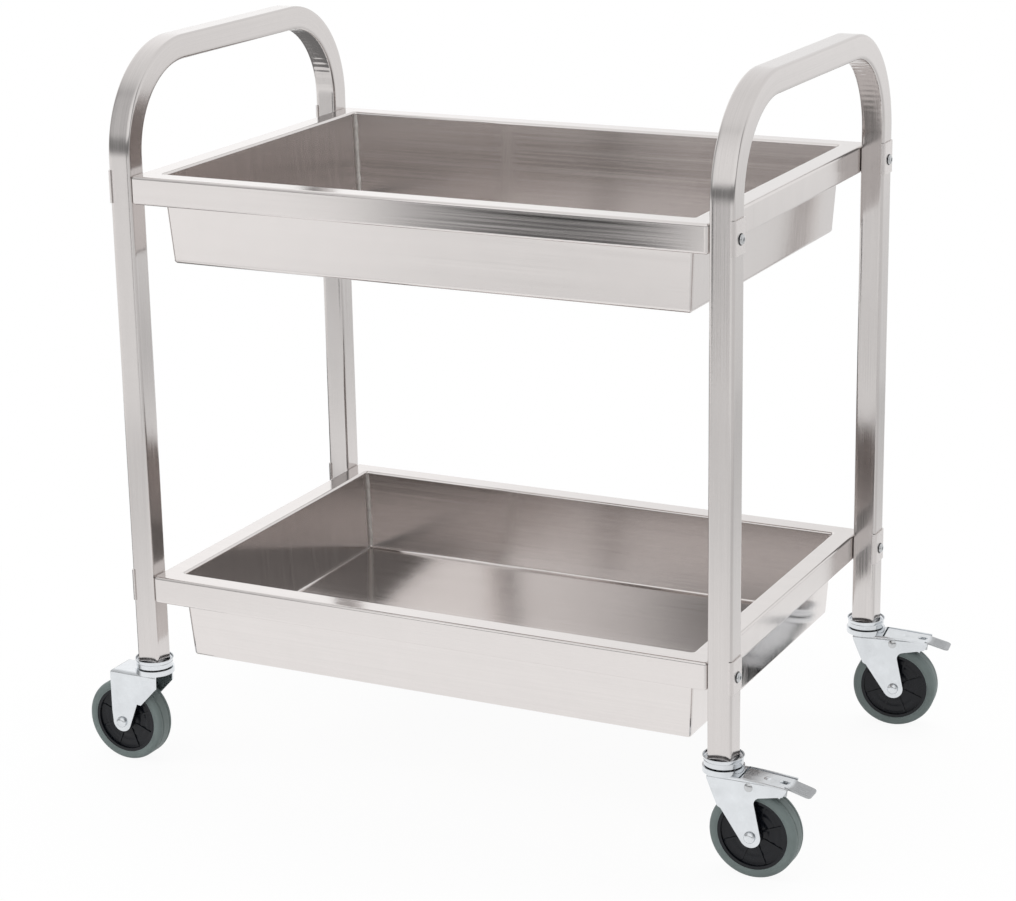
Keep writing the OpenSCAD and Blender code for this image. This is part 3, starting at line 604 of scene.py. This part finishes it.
# %% The tube's path and section
def frame_path():
    """Stations from one foot to the other: y, z, the direction of the path's outward normal,
    how far through a bend they are, from 0 to 1, and the length along."""
    half = (BACK_Y - FRONT_Y - TUBE) / 2
    bend_y, bend_z = half - BEND_R, HANDLE_TOP - TUBE / 2 - BEND_R
    leg = np.linspace(LEG_FOOT, bend_z, LEG_STEPS)
    down = leg[::-1][1:]
    turn = np.linspace(0, math.pi / 2, BEND_STEPS)[1:]
    bar = np.linspace(-bend_y, bend_y, BAR_STEPS)[1:]
    y = np.concatenate([np.full_like(leg, -half), -bend_y - BEND_R * np.cos(turn), bar,
                        bend_y + BEND_R * np.sin(turn), np.full_like(down, half)])
    z = np.concatenate([leg, bend_z + BEND_R * np.sin(turn), np.full_like(bar, bend_z + BEND_R),
                        bend_z + BEND_R * np.cos(turn), down])
    angle = np.concatenate([np.full_like(leg, math.pi), math.pi - turn,
                            np.full_like(bar, math.pi / 2), math.pi / 2 - turn,
                            np.zeros_like(down)])
    bent = np.concatenate([np.zeros_like(leg), turn, np.zeros_like(bar), turn,
                           np.zeros_like(down)]) / (math.pi / 2)
    length = np.concatenate([[0], np.cumsum(np.hypot(np.diff(y), np.diff(z)))])
    return y + CENTRE_Y, z, angle, bent, length


def rounded_square(half, radius, corner_steps=7, side_steps=11):
    """Points round a square with rounded corners, and the length round it."""
    pieces = []
    for k in range(4):
        a = math.pi / 2 * k
        side = np.linspace(-(half - radius), half - radius, side_steps)
        arc = np.linspace(0, math.pi / 2, corner_steps)[1:-1]
        edge = np.stack([np.full(side_steps, half), side], 1)
        corner = half - radius + radius * np.stack([np.cos(arc), np.sin(arc)], 1)
        quarter_turn = np.array([[math.cos(a), math.sin(a)], [-math.sin(a), math.cos(a)]])
        pieces.append(np.concatenate([edge, corner]) @ quarter_turn)
    section = np.concatenate(pieces)
    around = np.concatenate([[0], np.cumsum(np.hypot(*np.diff(section, axis=0).T))])
    return section, around


# %% The bent tubes
def bent_tube(side):
    """Section (a outwards, b along X) carried along the path. The inner wall dips and ripples
    in the bends by a sine of the length along, faded out towards the bend's ends and edges."""
    y, z, angle, bent, length = frame_path()
    in_bend = np.sin(math.pi * np.clip(bent, 0, 1))[:, None] ** 2
    ripple = 0.5 + 0.5 * np.sin(2 * math.pi * length / RIPPLE_STEP)[:, None]
    skins = []
    for depth, flip in ((0, False), (TUBE_WALL, True)):
        half = TUBE / 2 - depth
        section, around = rounded_square(half, CORNER_R - depth)
        a, b = section[:, 0][None], section[:, 1][None]
        inner = np.clip(-a / half, 0, 1) ** 8 * np.clip(1 - (b / half) ** 2, 0, 1)
        a = a + in_bend * inner * (DIP + RIPPLE * ripple)
        points = np.empty((*a.shape, 3))
        points[..., 0] = FRAME_X[side] + b * (1 if side == "left" else -1)
        points[..., 1] = y[:, None] + a * np.cos(angle)[:, None]
        points[..., 2] = z[:, None] + a * np.sin(angle)[:, None]
        uv = np.stack(np.broadcast_arrays(length[:, None], around[None]), -1)
        flipped = flip != (side == "right")
        skins.append((points, grid_quads(*a.shape, wrap_cols=True, flip=flipped), uv))
    rows, cols = skins[0][0].shape[:2]
    ends = []
    for row, flip in ((0, True), (rows - 1, False)):
        ring = np.stack([skins[0][0][row], skins[1][0][row]])
        quads = grid_quads(2, cols, wrap_cols=True, flip=flip != (side == "right"))
        ends.append((ring, quads, None))
    name = side + "_end_frame"
    tube = add_piece(name + "_bent_tube", skins + ends, tube_steel, "frame",
                     seam=4 * TUBE - (8 - 2 * math.pi) * CORNER_R)
    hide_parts(name)
    return tube


for side in FRAME_X:
    tube = bent_tube(side)
    print(tube.name, len(tube.data.polygons), "faces")

# %% [markdown]
# ## The trays
# A real tray is one sheet that is cut, folded and welded at the corners, so its corners are
# tight mitres, and they stay as tight from the rim to the floor though the walls lean in. That
# is a section carried round the tray, where each row of the section is a rounded rectangle
# of its own size, corner radius and height. The section runs out along the back of the sheet
# to the hem and back along its face, which gives the sheet its thickness in one closed skin.

# %% Sizes of the folds
# The rim's width, how far the walls lean in, the tub's depth, the sheet, and the bends' radii.
RIM, DRAFT, TUB_H, SHEET, FOLD, FLOOR_BEND = 0.026, 0.006, 0.103, 0.0012, 0.003, 0.0035
# The apron's height, the hem's width, and the corners' radii, of which none is under LEAST.
APRON_H, HEM, APRON_CORNER, TUB_CORNER, LEAST = 0.032, 0.009, 0.004, 0.0028, 0.0005
# How close to a fold the extra rows lie, and how far in the floor's last ring lies.
NEAR, NEAR_WALL, FLOOR_RUN = 0.0003, 0.02, 0.02


def arc_rows(centre, radius, start, end, steps=7):
    """Distance in from the edge, and height, along an arc that is given in degrees."""
    a = np.radians(np.linspace(start, end, steps))
    return np.stack([centre[0] + radius * np.cos(a), centre[1] + radius * np.sin(a)], 1)


def sheet_side(back):
    """One side of the sheet from the hem to the floor, as rows of distance in from the tray's
    edge, height, and corner radius. The back is the same path, a sheet's thickness behind.
    Extra rows close to each fold keep the shading of the flat parts flat."""
    t = SHEET if back else 0.0
    floor_z = -TUB_H + SHEET - t
    lean = np.linspace(0, 1, 8)[:, None] * [DRAFT, -(TUB_H - SHEET - FLOOR_BEND - FOLD)]
    foot = (RIM + DRAFT + FLOOR_BEND, -TUB_H + SHEET + FLOOR_BEND)
    hem = np.array([[HEM, t - APRON_H], [FOLD + NEAR, t - APRON_H]])
    low_fold = arc_rows((FOLD, FOLD - APRON_H), FOLD - t, -90, -180)
    apron = np.array([[t, FOLD - APRON_H + NEAR], [t, -APRON_H / 2], [t, -FOLD - NEAR]])
    edge_fold = arc_rows((FOLD, -FOLD), FOLD - t, 180, 90)
    rim_out, rim_in = np.array([[FOLD + NEAR, -t]]), np.array([[RIM - FOLD - NEAR, -t]])
    tub_fold = arc_rows((RIM - FOLD, -FOLD), FOLD - t, 90, 0)
    wall = np.array([RIM - t, -FOLD]) + lean
    first = wall[0] + (wall[1] - wall[0]) * NEAR_WALL
    last = wall[-1] - (wall[-1] - wall[-2]) * NEAR_WALL
    wall = np.concatenate([[first], wall[1:-1], [last]])
    floor_fold = arc_rows(foot, FLOOR_BEND + t, 180, 270)
    floor = np.array([[foot[0] + NEAR, floor_z], [foot[0] + FLOOR_RUN, floor_z]])
    outer = np.concatenate([hem, low_fold, apron, edge_fold, rim_out])
    inner = np.concatenate([rim_in, tub_fold, wall, floor_fold, floor])
    outer_r = np.maximum(APRON_CORNER - outer[:, 0], LEAST)
    at_wall = np.clip(inner[:, 0], None, RIM - t)
    past = np.clip(inner[:, 0] - (foot[0] - FLOOR_BEND - t), 0, None)
    inner_r = np.maximum(TUB_CORNER + RIM - at_wall - past, LEAST)
    return np.concatenate([outer, inner]), np.concatenate([outer_r, inner_r])


def rectangle_rings(half_x, half_y, radius, arc_steps=7):
    """For each row a ring of points round a rounded rectangle: quarter circles at the corners,
    and between them points on the straight sides, close to the corners and a few between."""
    a = np.linspace(0, math.pi / 2, arc_steps)[None]
    hx, hy, r = half_x[:, None], half_y[:, None], radius[:, None]
    arcs = []
    for k, (sx, sy) in enumerate(((1, 1), (-1, 1), (-1, -1), (1, -1))):
        turn = a + k * math.pi / 2
        x, y = sx * (hx - r) + r * np.cos(turn), sy * (hy - r) + r * np.sin(turn)
        arcs.append(np.stack([x, y], -1))
    parts = []
    for k in range(4):
        start, end = arcs[k][:, -1:], arcs[(k + 1) % 4][:, :1]
        t = np.array([0.001, 0.2, 0.4, 0.6, 0.8, 0.999])[None, :, None]
        parts += [arcs[k], start + (end - start) * t]
    return np.concatenate(parts, 1)


# %% The folded trays
def folded_tray(tray):
    """The closed skin of a tray, with the flat floor filled inside its last ring on each side."""
    low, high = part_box(tray)
    centre, half = (low + high) / 2, (high - low) / 2
    back_path, back_r = sheet_side(True)
    face_path, face_r = sheet_side(False)
    path = np.concatenate([back_path[::-1], face_path])
    radius = np.concatenate([back_r[::-1], face_r])
    rings = rectangle_rings(half.x - path[:, 0], half.y - path[:, 0], radius)
    rows, cols = rings.shape[:2]
    points = np.empty((rows, cols, 3))
    points[..., :2] = rings + np.array([centre.x, centre.y])
    points[..., 2] = high.z + path[:, 1][:, None]
    quads = grid_quads(rows, cols, wrap_cols=True)
    first, last = np.arange(cols)[::-1], np.arange(cols) + (rows - 1) * cols
    piece = add_piece(tray + "_folded_sheet", [(points, quads, None)], sheet_steel, "frame",
                      sharp=35, fills=(first, last))
    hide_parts(tray)
    return piece


for tray in ("upper_tray", "lower_tray"):
    piece = folded_tray(tray)
    print(piece.name, len(piece.data.polygons), "faces")

# %% [markdown]
# ## Welded tub corners
# The four walls of a tub meet at corners that are welded and ground. A thin, uneven bead stays
# in each corner, brighter and rougher than the sheet, with small dark pits. Each bead is a low
# hump in section, carried down the corner, and its height and width ripple like a weld.

# %% Corner beads
BEAD_ROWS, BEAD_COLS = 220, 11
# A bead's half width, its height, how deep its back lies, and how far below the fold it starts.
BEAD_HALF, BEAD_TALL, BEAD_SUNK, BEAD_DOWN = 0.0030, 0.0006, 0.0003, 0.001
FINE_RIPPLE, SLOW_RIPPLE, WIDTH_RIPPLE = 0.0031, 0.0171, 0.023


def corner_beads(tray):
    """Four beads for one tray. A bead's section is a low hump over the corner's arc, which
    runs on straight past the arc's ends, and a back that lies in the sheet. The section is
    carried down the corner and closed at both ends."""
    low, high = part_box(tray)
    centre, half = (low + high) / 2, (high - low) / 2
    foot = TUB_H - SHEET - FLOOR_BEND
    depth = np.linspace(FOLD + BEAD_DOWN, foot + BEAD_DOWN, BEAD_ROWS)[:, None]
    across = np.concatenate([np.linspace(-1, 1, BEAD_COLS), np.linspace(1, -1, BEAD_COLS)])[None]
    hump = np.where(np.arange(2 * BEAD_COLS) < BEAD_COLS, 1, 0)[None]
    lean = DRAFT * np.clip((depth - FOLD) / (foot - FOLD), 0, 1)
    inset = RIM + lean + TUB_CORNER
    arc = TUB_CORNER * math.pi / 4
    rows, cols = BEAD_ROWS, 2 * BEAD_COLS
    grids, fills = [], []
    for n, (sx, sy) in enumerate(((1, 1), (-1, 1), (-1, -1), (1, -1))):
        fine, slow, width = (np.sin(2 * math.pi * depth / step + phase * n) for step, phase in
                             ((FINE_RIPPLE, 1), (SLOW_RIPPLE, 2), (WIDTH_RIPPLE, 3)))
        path = across * BEAD_HALF * (1 + 0.15 * width)
        bent = np.clip(path, -arc, arc)
        angle = math.pi / 4 + bent / TUB_CORNER
        tall = BEAD_TALL * (1 - across ** 2) * (1 + 0.25 * (0.5 * fine + slow))
        reach, run = TUB_CORNER + BEAD_SUNK - hump * (tall + BEAD_SUNK), path - bent
        cos, sin = np.cos(angle), np.sin(angle)
        points = np.empty((rows, cols, 3))
        points[..., 0] = centre.x + sx * (half.x - inset + reach * cos - run * sin)
        points[..., 1] = centre.y + sy * (half.y - inset + reach * sin + run * cos)
        points[..., 2] = high.z - depth
        flip = sx * sy < 0
        grids.append((points, grid_quads(rows, cols, wrap_cols=True, flip=flip), None))
        top = [n * rows * cols + k for k in range(cols)]
        end = [(n * rows + rows - 1) * cols + k for k in range(cols)]
        fills += [top if flip else top[::-1], end[::-1] if flip else end]
    return add_piece(tray + "_corner_welds", grids, weld_steel, "frame",
                     sharp=60, fills=fills)


for tray in ("upper_tray", "lower_tray"):
    print(corner_beads(tray).name)

# %% [markdown]
# ## Bolts, nuts and wheels
# These are turned bodies: a profile of radius against height goes round an axis. The radius may
# also change with the angle, which makes a hexagon of a circle, or with angle and height
# together, which winds a thread. So one helper makes bolts, nuts, rings and tyres.

# %% A helper for turned bodies
def turned_quads(rows, cols):
    """Quads of a body with one point on the axis at each end and rings between them. The ends
    are closed by quads that take two steps of the ring each, so cols is even."""
    body = grid_quads(rows, cols, wrap_cols=True, flip=True) + 1
    k = np.arange(0, cols, 2)
    top = np.stack([0 * k, 1 + k, 1 + k + 1, 1 + (k + 2) % cols], 1)
    last = 1 + (rows - 1) * cols
    foot = np.stack([0 * k + 1 + rows * cols, last + (k + 2) % cols, last + k + 1, last + k], 1)
    return np.concatenate([top, body, foot])


def turned_body(radius, height, angle):
    """Points of a body turned round Z: one ring for each row of radius and height, which are
    arrays of rows by angles, and a point on the axis at the height of the first and last row."""
    radius, height = np.broadcast_arrays(radius, height)
    rings = np.stack([radius * np.cos(angle), radius * np.sin(angle), height], -1).reshape(-1, 3)
    ends = np.array([[[0, 0, height[0].mean()]], [[0, 0, height[-1].mean()]]])
    return np.concatenate([ends[0], rings, ends[1]])


def stand_on(points, place, axis):
    """Turns a body made along Z so that it points along a level axis from a place."""
    axis = np.asarray(axis, float) / np.linalg.norm(axis)
    side = np.cross((0, 0, 1), axis)
    return np.asarray(place) + points @ np.stack([side, np.cross(axis, side), axis])


def hexagon(angle, flats):
    """Distance from the middle to the side of a hexagon, by angle."""
    return flats / 2 / np.cos((angle + math.pi / 6) % (math.pi / 3) - math.pi / 6)


# A thread is cut this deep, as a share of its pitch.
THREAD_DEEP = 0.6


def thread(angle, height, outer, pitch):
    """Radius of a screw thread: a rounded saw whose phase moves one pitch in each turn."""
    phase = (height / pitch - angle / (2 * math.pi)) % 1
    return outer - THREAD_DEEP * pitch * (1 - np.abs(2 * phase - 1)) ** 0.8


# %% A bolt
def button_bolt(head_d, head_h, shank_d, shank_l, pitch, socket, threaded, steps=96):
    """Rows from the socket's floor up its hexagon walls, over the domed head with a small flat
    edge, under the head, and down the shank, whose last part carries the thread. With no
    socket the head is a plain dome with a small flat, as a rivet has."""
    angle = np.linspace(0, 2 * math.pi, steps + 1)[None, :-1]
    round_ = np.ones_like(angle)
    rows = []
    if socket:
        rim, deep = hexagon(angle, socket), 0.48 * head_h
        floor = ((0.15, 0.0005), (0.9, 0.0001), (0.985, 0), (1, -0.0001))
        mouth = ((1, 0.0002), (1.03, 0.00005), (1.1, 0))
        rows += [(rim * k, head_h - deep - d) for k, d in floor]
        rows += [(rim * k, head_h - d) for k, d in mouth]
        flat = socket / math.sqrt(3) * 1.12
    else:
        flat = 0.16 * head_d
        rows += [(flat * k * round_, head_h) for k in (0.1, 0.6, 0.9)]
    edge = 0.16 * head_h
    for k in np.linspace(0, 1, 12):
        r = flat + (head_d / 2 - flat) * math.sin(k * math.pi / 2)
        z = edge + (head_h - edge) * math.cos(k * math.pi / 2) ** 0.85
        rows.append((r * round_, z))
    rows += [(head_d / 2 * round_, edge * 0.4), ((head_d / 2 - 0.0002) * round_, 0)]
    rows += [((shank_d / 2 + 0.0003) * round_, 0), (shank_d / 2 * round_, -0.0003)]
    start = -shank_l + threaded
    if shank_l > threaded:
        rows.append((shank_d / 2 * round_, start + 0.0004))
    for z in np.arange(start, -shank_l + 0.0009, -pitch / 7):
        rows.append((thread(angle, z, shank_d / 2, pitch), z))
    rows += [((shank_d / 2 - THREAD_DEEP * pitch) * round_, -shank_l + 0.0004),
             ((shank_d / 2 - 0.9 * pitch) * round_, -shank_l)]
    radius = np.concatenate([r for r, _ in rows])
    height = np.array([z for _, z in rows])[:, None]
    return turned_body(radius, height, angle), turned_quads(len(rows), steps), None


# %% A nut
def chamfered_nut(flats, tall, bore, steps=96):
    """A hexagon whose corners are cut by a cone at both faces: at each place the radius is the
    smaller of the two. The bore is closed up with a second skin, so it is a ring."""
    angle = np.linspace(0, 2 * math.pi, steps + 1)[None, :-1]
    up = 0.5 - 0.5 * np.cos(np.linspace(0, math.pi, 17))[:, None]
    height = tall * up
    cone = flats / 2 * 0.98 + np.minimum(height, tall - height) * 1.75
    outside = np.minimum(hexagon(angle, flats), cone)
    lip = 0.0004
    inside = np.array([bore + lip, bore, bore, bore + lip])[:, None] + 0 * angle
    inside_height = np.array([tall, tall - lip, lip, 0])[:, None]
    radius = np.concatenate([outside, inside])
    height = np.concatenate([height, inside_height]) + 0 * angle
    points = np.stack([radius * np.cos(angle), radius * np.sin(angle), height], -1)
    return points, grid_quads(*radius.shape, wrap_rows=True, wrap_cols=True), None


def moved(grid, place, axis):
    """A grid turned and moved by stand_on."""
    points, quads, uv = grid
    return stand_on(np.asarray(points).reshape(-1, 3), place, axis), quads, uv


# %% The tray bolts and nuts
LEG_Y = (FRONT_Y + TUBE / 2, BACK_Y - TUBE / 2)
SADDLE = 0.0016
BOLT_Z = [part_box(tray)[1].z - APRON_H / 2 for tray in ("upper_tray", "lower_tray")]
BOLT_D, BOLT_HEAD_D, BOLT_HEAD_H, BOLT_SOCKET, BOLT_L = 0.006, 0.011, 0.0033, 0.004, 0.0392
BOLT_PITCH, BOLT_THREADED, BOLT_TAIL = 0.001, 0.012, 0.002
NUT_FLATS, NUT_H = 0.010, 0.005
seats = [(FRAME_X[side] + sign * (TUBE / 2 + SADDLE), y, z, sign)
         for side, sign in (("left", -1), ("right", 1)) for y in LEG_Y for z in BOLT_Z]
bolts, nuts = [], []
for x, y, z, sign in seats:
    bolt = button_bolt(BOLT_HEAD_D, BOLT_HEAD_H, BOLT_D, BOLT_L, BOLT_PITCH,
                       BOLT_SOCKET, BOLT_THREADED)
    nut = chamfered_nut(NUT_FLATS, NUT_H, BOLT_D / 2)
    bolts.append(moved(bolt, (x, y, z), (sign, 0, 0)))
    nuts.append(moved(nut, (x - sign * (BOLT_L - BOLT_TAIL), y, z), (sign, 0, 0)))
piece = add_piece("tray_bolts_socket_heads", bolts, bright_steel, "frame",
                  sharp=35)
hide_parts("tray_bolts")
print(piece.name, len(piece.data.polygons), "faces")
piece = add_piece("tray_nuts_chamfered", nuts, bright_steel, "frame", sharp=35)
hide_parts("tray_nuts")
print(piece.name, len(piece.data.polygons), "faces")

# %% [markdown]
# ## Painted shadow rings and lips
# A thin black ring under each bolt head is a painted shadow for the gap round it, and each swivel
# head ends in a dished lip that hides its balls. Both are rings: a closed section carried round
# an axis.

# %% Black rings of painted shadow under the bolt heads, and the dished lips of the swivel heads
def ring_of(section, place, axis, steps=96):
    """A closed ring: a closed loop of radius and height carried round an axis. With no axis
    it stands upright."""
    angle = np.linspace(0, 2 * math.pi, steps + 1)[None, :-1]
    r, z = section[:, :1], section[:, 1:]
    points = np.stack([r * np.cos(angle), r * np.sin(angle), z + 0 * angle], -1)
    grid = points, grid_quads(*points.shape[:2], wrap_rows=True, wrap_cols=True), None
    if axis is None:
        return points + np.asarray(place), grid[1], None
    return moved(grid, place, axis)


# A black ring under each bolt head: a painted shadow that darkens the gap round the head.
shadow_ring = np.array([[0.0032, 0], [0.0061, 0], [0.0064, 0.0002],
                 [0.0063, 0.0005], [0.0059, 0.0006], [0.0032, 0.0006]])
shadow_rings = [ring_of(shadow_ring, (x, y, z), (sign, 0, 0)) for x, y, z, sign in seats]
piece = add_piece("tray_bolt_painted_shadow_rings", shadow_rings, black_plastic, "frame", sharp=35)
print(piece.name, len(piece.data.polygons), "faces")

turn = np.linspace(0, math.pi, 9)
lip = np.concatenate([
    [[0.0200, -0.0004], [0.0212, -0.0004]],
    np.stack([0.0222 + 0.0006 * np.cos(turn), 0.0036 + 0.0006 * np.sin(turn)], 1),
    [[0.0214, 0.0018], [0.0208, 0.0009], [0.0200, 0.0006]],
])
for corner in ("front_left", "front_right", "rear_left", "rear_right"):
    low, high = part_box(corner + "_upper_race")
    middle = (low + high) / 2
    piece = add_piece(corner + "_race_lip", [ring_of(lip, (middle.x, middle.y, high.z), None)],
                      zinc, "frame", sharp=60)
print(piece.name, len(piece.data.polygons), "faces")

# %% [markdown]
# ## Tyres
# A moulded tyre has soft shoulders, two fine grooves round the tread, a shallow step on each
# flank where it meets the hub, and a hair-thin line in the middle where the halves of the mould
# met. The whole section is one closed loop of points, carried round the axle.

# %% The tyres
def tyre_section(inner, outer, wide):
    """Radius and place across of one loop round the tyre's section, from its inner edge."""
    half, shoulder = wide / 2, 0.0045
    arc = np.linspace(0, math.pi / 2, 10)
    flank_r = np.array([inner, inner + 0.0012, inner + 0.0016, inner + 0.0021, inner + 0.0026])
    flank_v = half - np.array([0.0006, 0.0006, 0.0004, 0.0001, 0.0])
    turn_r = outer - shoulder + shoulder * np.sin(arc)
    turn_v = half - shoulder + shoulder * np.cos(arc)
    groove_v, groove_deep = [0.0076, 0.0073, 0.0070, 0.0060, 0.0057, 0.0054], [0, 0.00015, 0.0012]
    flat_v, flat_deep = [0.0040, 0.0020, 0.0004, 0.00018], [0, 0, 0, 0.00002]
    mould_line = 0.00016
    tread_r = outer - np.array(groove_deep + groove_deep[::-1] + flat_deep)
    half_r = np.concatenate([flank_r, turn_r, tread_r])
    half_v = np.concatenate([flank_v, turn_v, groove_v, flat_v])
    return (np.concatenate([half_r, [outer - mould_line], half_r[::-1]]),
            np.concatenate([half_v, [0.0], -half_v[::-1]]))


wheel_axis, wheel_place = {}, {}
for joint in joints:
    if joint["name"].endswith("_wheel_roll"):
        corner = joint["child"].removesuffix("_wheel")
        wheel_axis[corner], wheel_place[corner] = joint["axis"], joint["pos_m"]
TYRE_R, TYRE_W, HUB_R = 0.05, 0.026, 0.04
for corner, axis in wheel_axis.items():
    r, v = tyre_section(HUB_R, TYRE_R, TYRE_W)
    angle = np.linspace(0, 2 * math.pi, 193)[None, :-1]
    r, v = r[:, None], v[:, None] + 0 * angle
    points = np.stack([r * np.cos(angle), r * np.sin(angle), v], -1)
    quads = grid_quads(*v.shape, wrap_rows=True, wrap_cols=True, flip=True)
    loop = moved((points, quads, None), wheel_place[corner], axis)
    piece = add_piece(corner + "_moulded_tyre", [loop], rubber, corner + "_wheel",
                      sharp=50)
    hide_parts(corner + "_tyre")
print("tyres:", len(wheel_axis), "with", len(piece.data.polygons), "faces each")

# %% [markdown]
# ## Hub faces
# Behind its ribs each side of the hub is closed by a thin dish, so that only fine lines of the
# ribs stand out, and the rim of the hub frames it. The dish is a little hollow, with low rings
# round it. Its section is a closed loop of radius and place across, carried round the axle.

# %% The dishes
DISH_IN, DISH_OUT, DISH_AT, DISH_T = 0.0112, 0.0368, 0.0083, 0.0010
DISH_HOLLOW, RING_TALL, RING_STEP = 0.0007, 0.00035, 0.0085
r = np.linspace(DISH_IN, DISH_OUT, 16)
past = r - DISH_IN
hollow = DISH_AT - DISH_HOLLOW * np.sin(math.pi * past / (DISH_OUT - DISH_IN))
hollow = hollow + RING_TALL * np.cos(2 * math.pi * past / RING_STEP)
face, under = np.stack([r, hollow], 1), np.stack([r, hollow - DISH_T], 1)[::-1]
outer_side = np.concatenate([face, under])[::-1]
inner_side = outer_side[::-1] * [1, -1]
for corner, axis in wheel_axis.items():
    dishes = [ring_of(part, wheel_place[corner], axis, steps=128)
              for part in (outer_side, inner_side)]
    piece = add_piece(corner + "_hub_dishes", dishes, black_plastic, corner + "_wheel",
                      sharp=35)
print(piece.name, len(piece.data.polygons), "faces")

# %% [markdown]
# ## Axle bolts and nuts
# The axle is a bolt with a low domed head on one side of each fork and a nut on the other. The
# helpers for the trays' bolts and nuts make them too, with other sizes and with no socket. The
# CAD model's nut tells which side is which.

# %% The axle bolts and nuts
FORK_OUT, AXLE_D, AXLE_HEAD_D, AXLE_HEAD_H = 0.039, 0.008, 0.013, 0.0045
AXLE_PITCH, AXLE_THREADED = 0.00125, 0.010
AXLE_NUT_FLATS, AXLE_NUT_H, AXLE_TAIL = 0.013, 0.006, 0.0015
AXLE_L = FORK_OUT + AXLE_NUT_H + AXLE_TAIL
for corner, axis in wheel_axis.items():
    place = np.array(wheel_place[corner])
    low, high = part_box(corner + "_axle_nut")
    to_nut = np.array((low + high) / 2) - place
    head_axis = -to_nut / np.linalg.norm(to_nut)
    bolt = button_bolt(AXLE_HEAD_D, AXLE_HEAD_H, AXLE_D, AXLE_L, AXLE_PITCH, 0, AXLE_THREADED)
    bolt = moved(bolt, place + head_axis * FORK_OUT / 2, head_axis)
    bolt_piece = add_piece(corner + "_axle_bolt_domed", [bolt], zinc,
                           body_of_node[corner + "_axle_bolt"], sharp=35)
    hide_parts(corner + "_axle_bolt")
    nut = chamfered_nut(AXLE_NUT_FLATS, AXLE_NUT_H, AXLE_D / 2)
    nut = moved(nut, place - head_axis * FORK_OUT / 2, -head_axis)
    nut_piece = add_piece(corner + "_axle_nut_chamfered", [nut], zinc,
                          body_of_node[corner + "_axle_nut"], sharp=35)
    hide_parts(corner + "_axle_nut")
print("axle bolt", len(bolt_piece.data.polygons), "faces, nut", len(nut_piece.data.polygons))
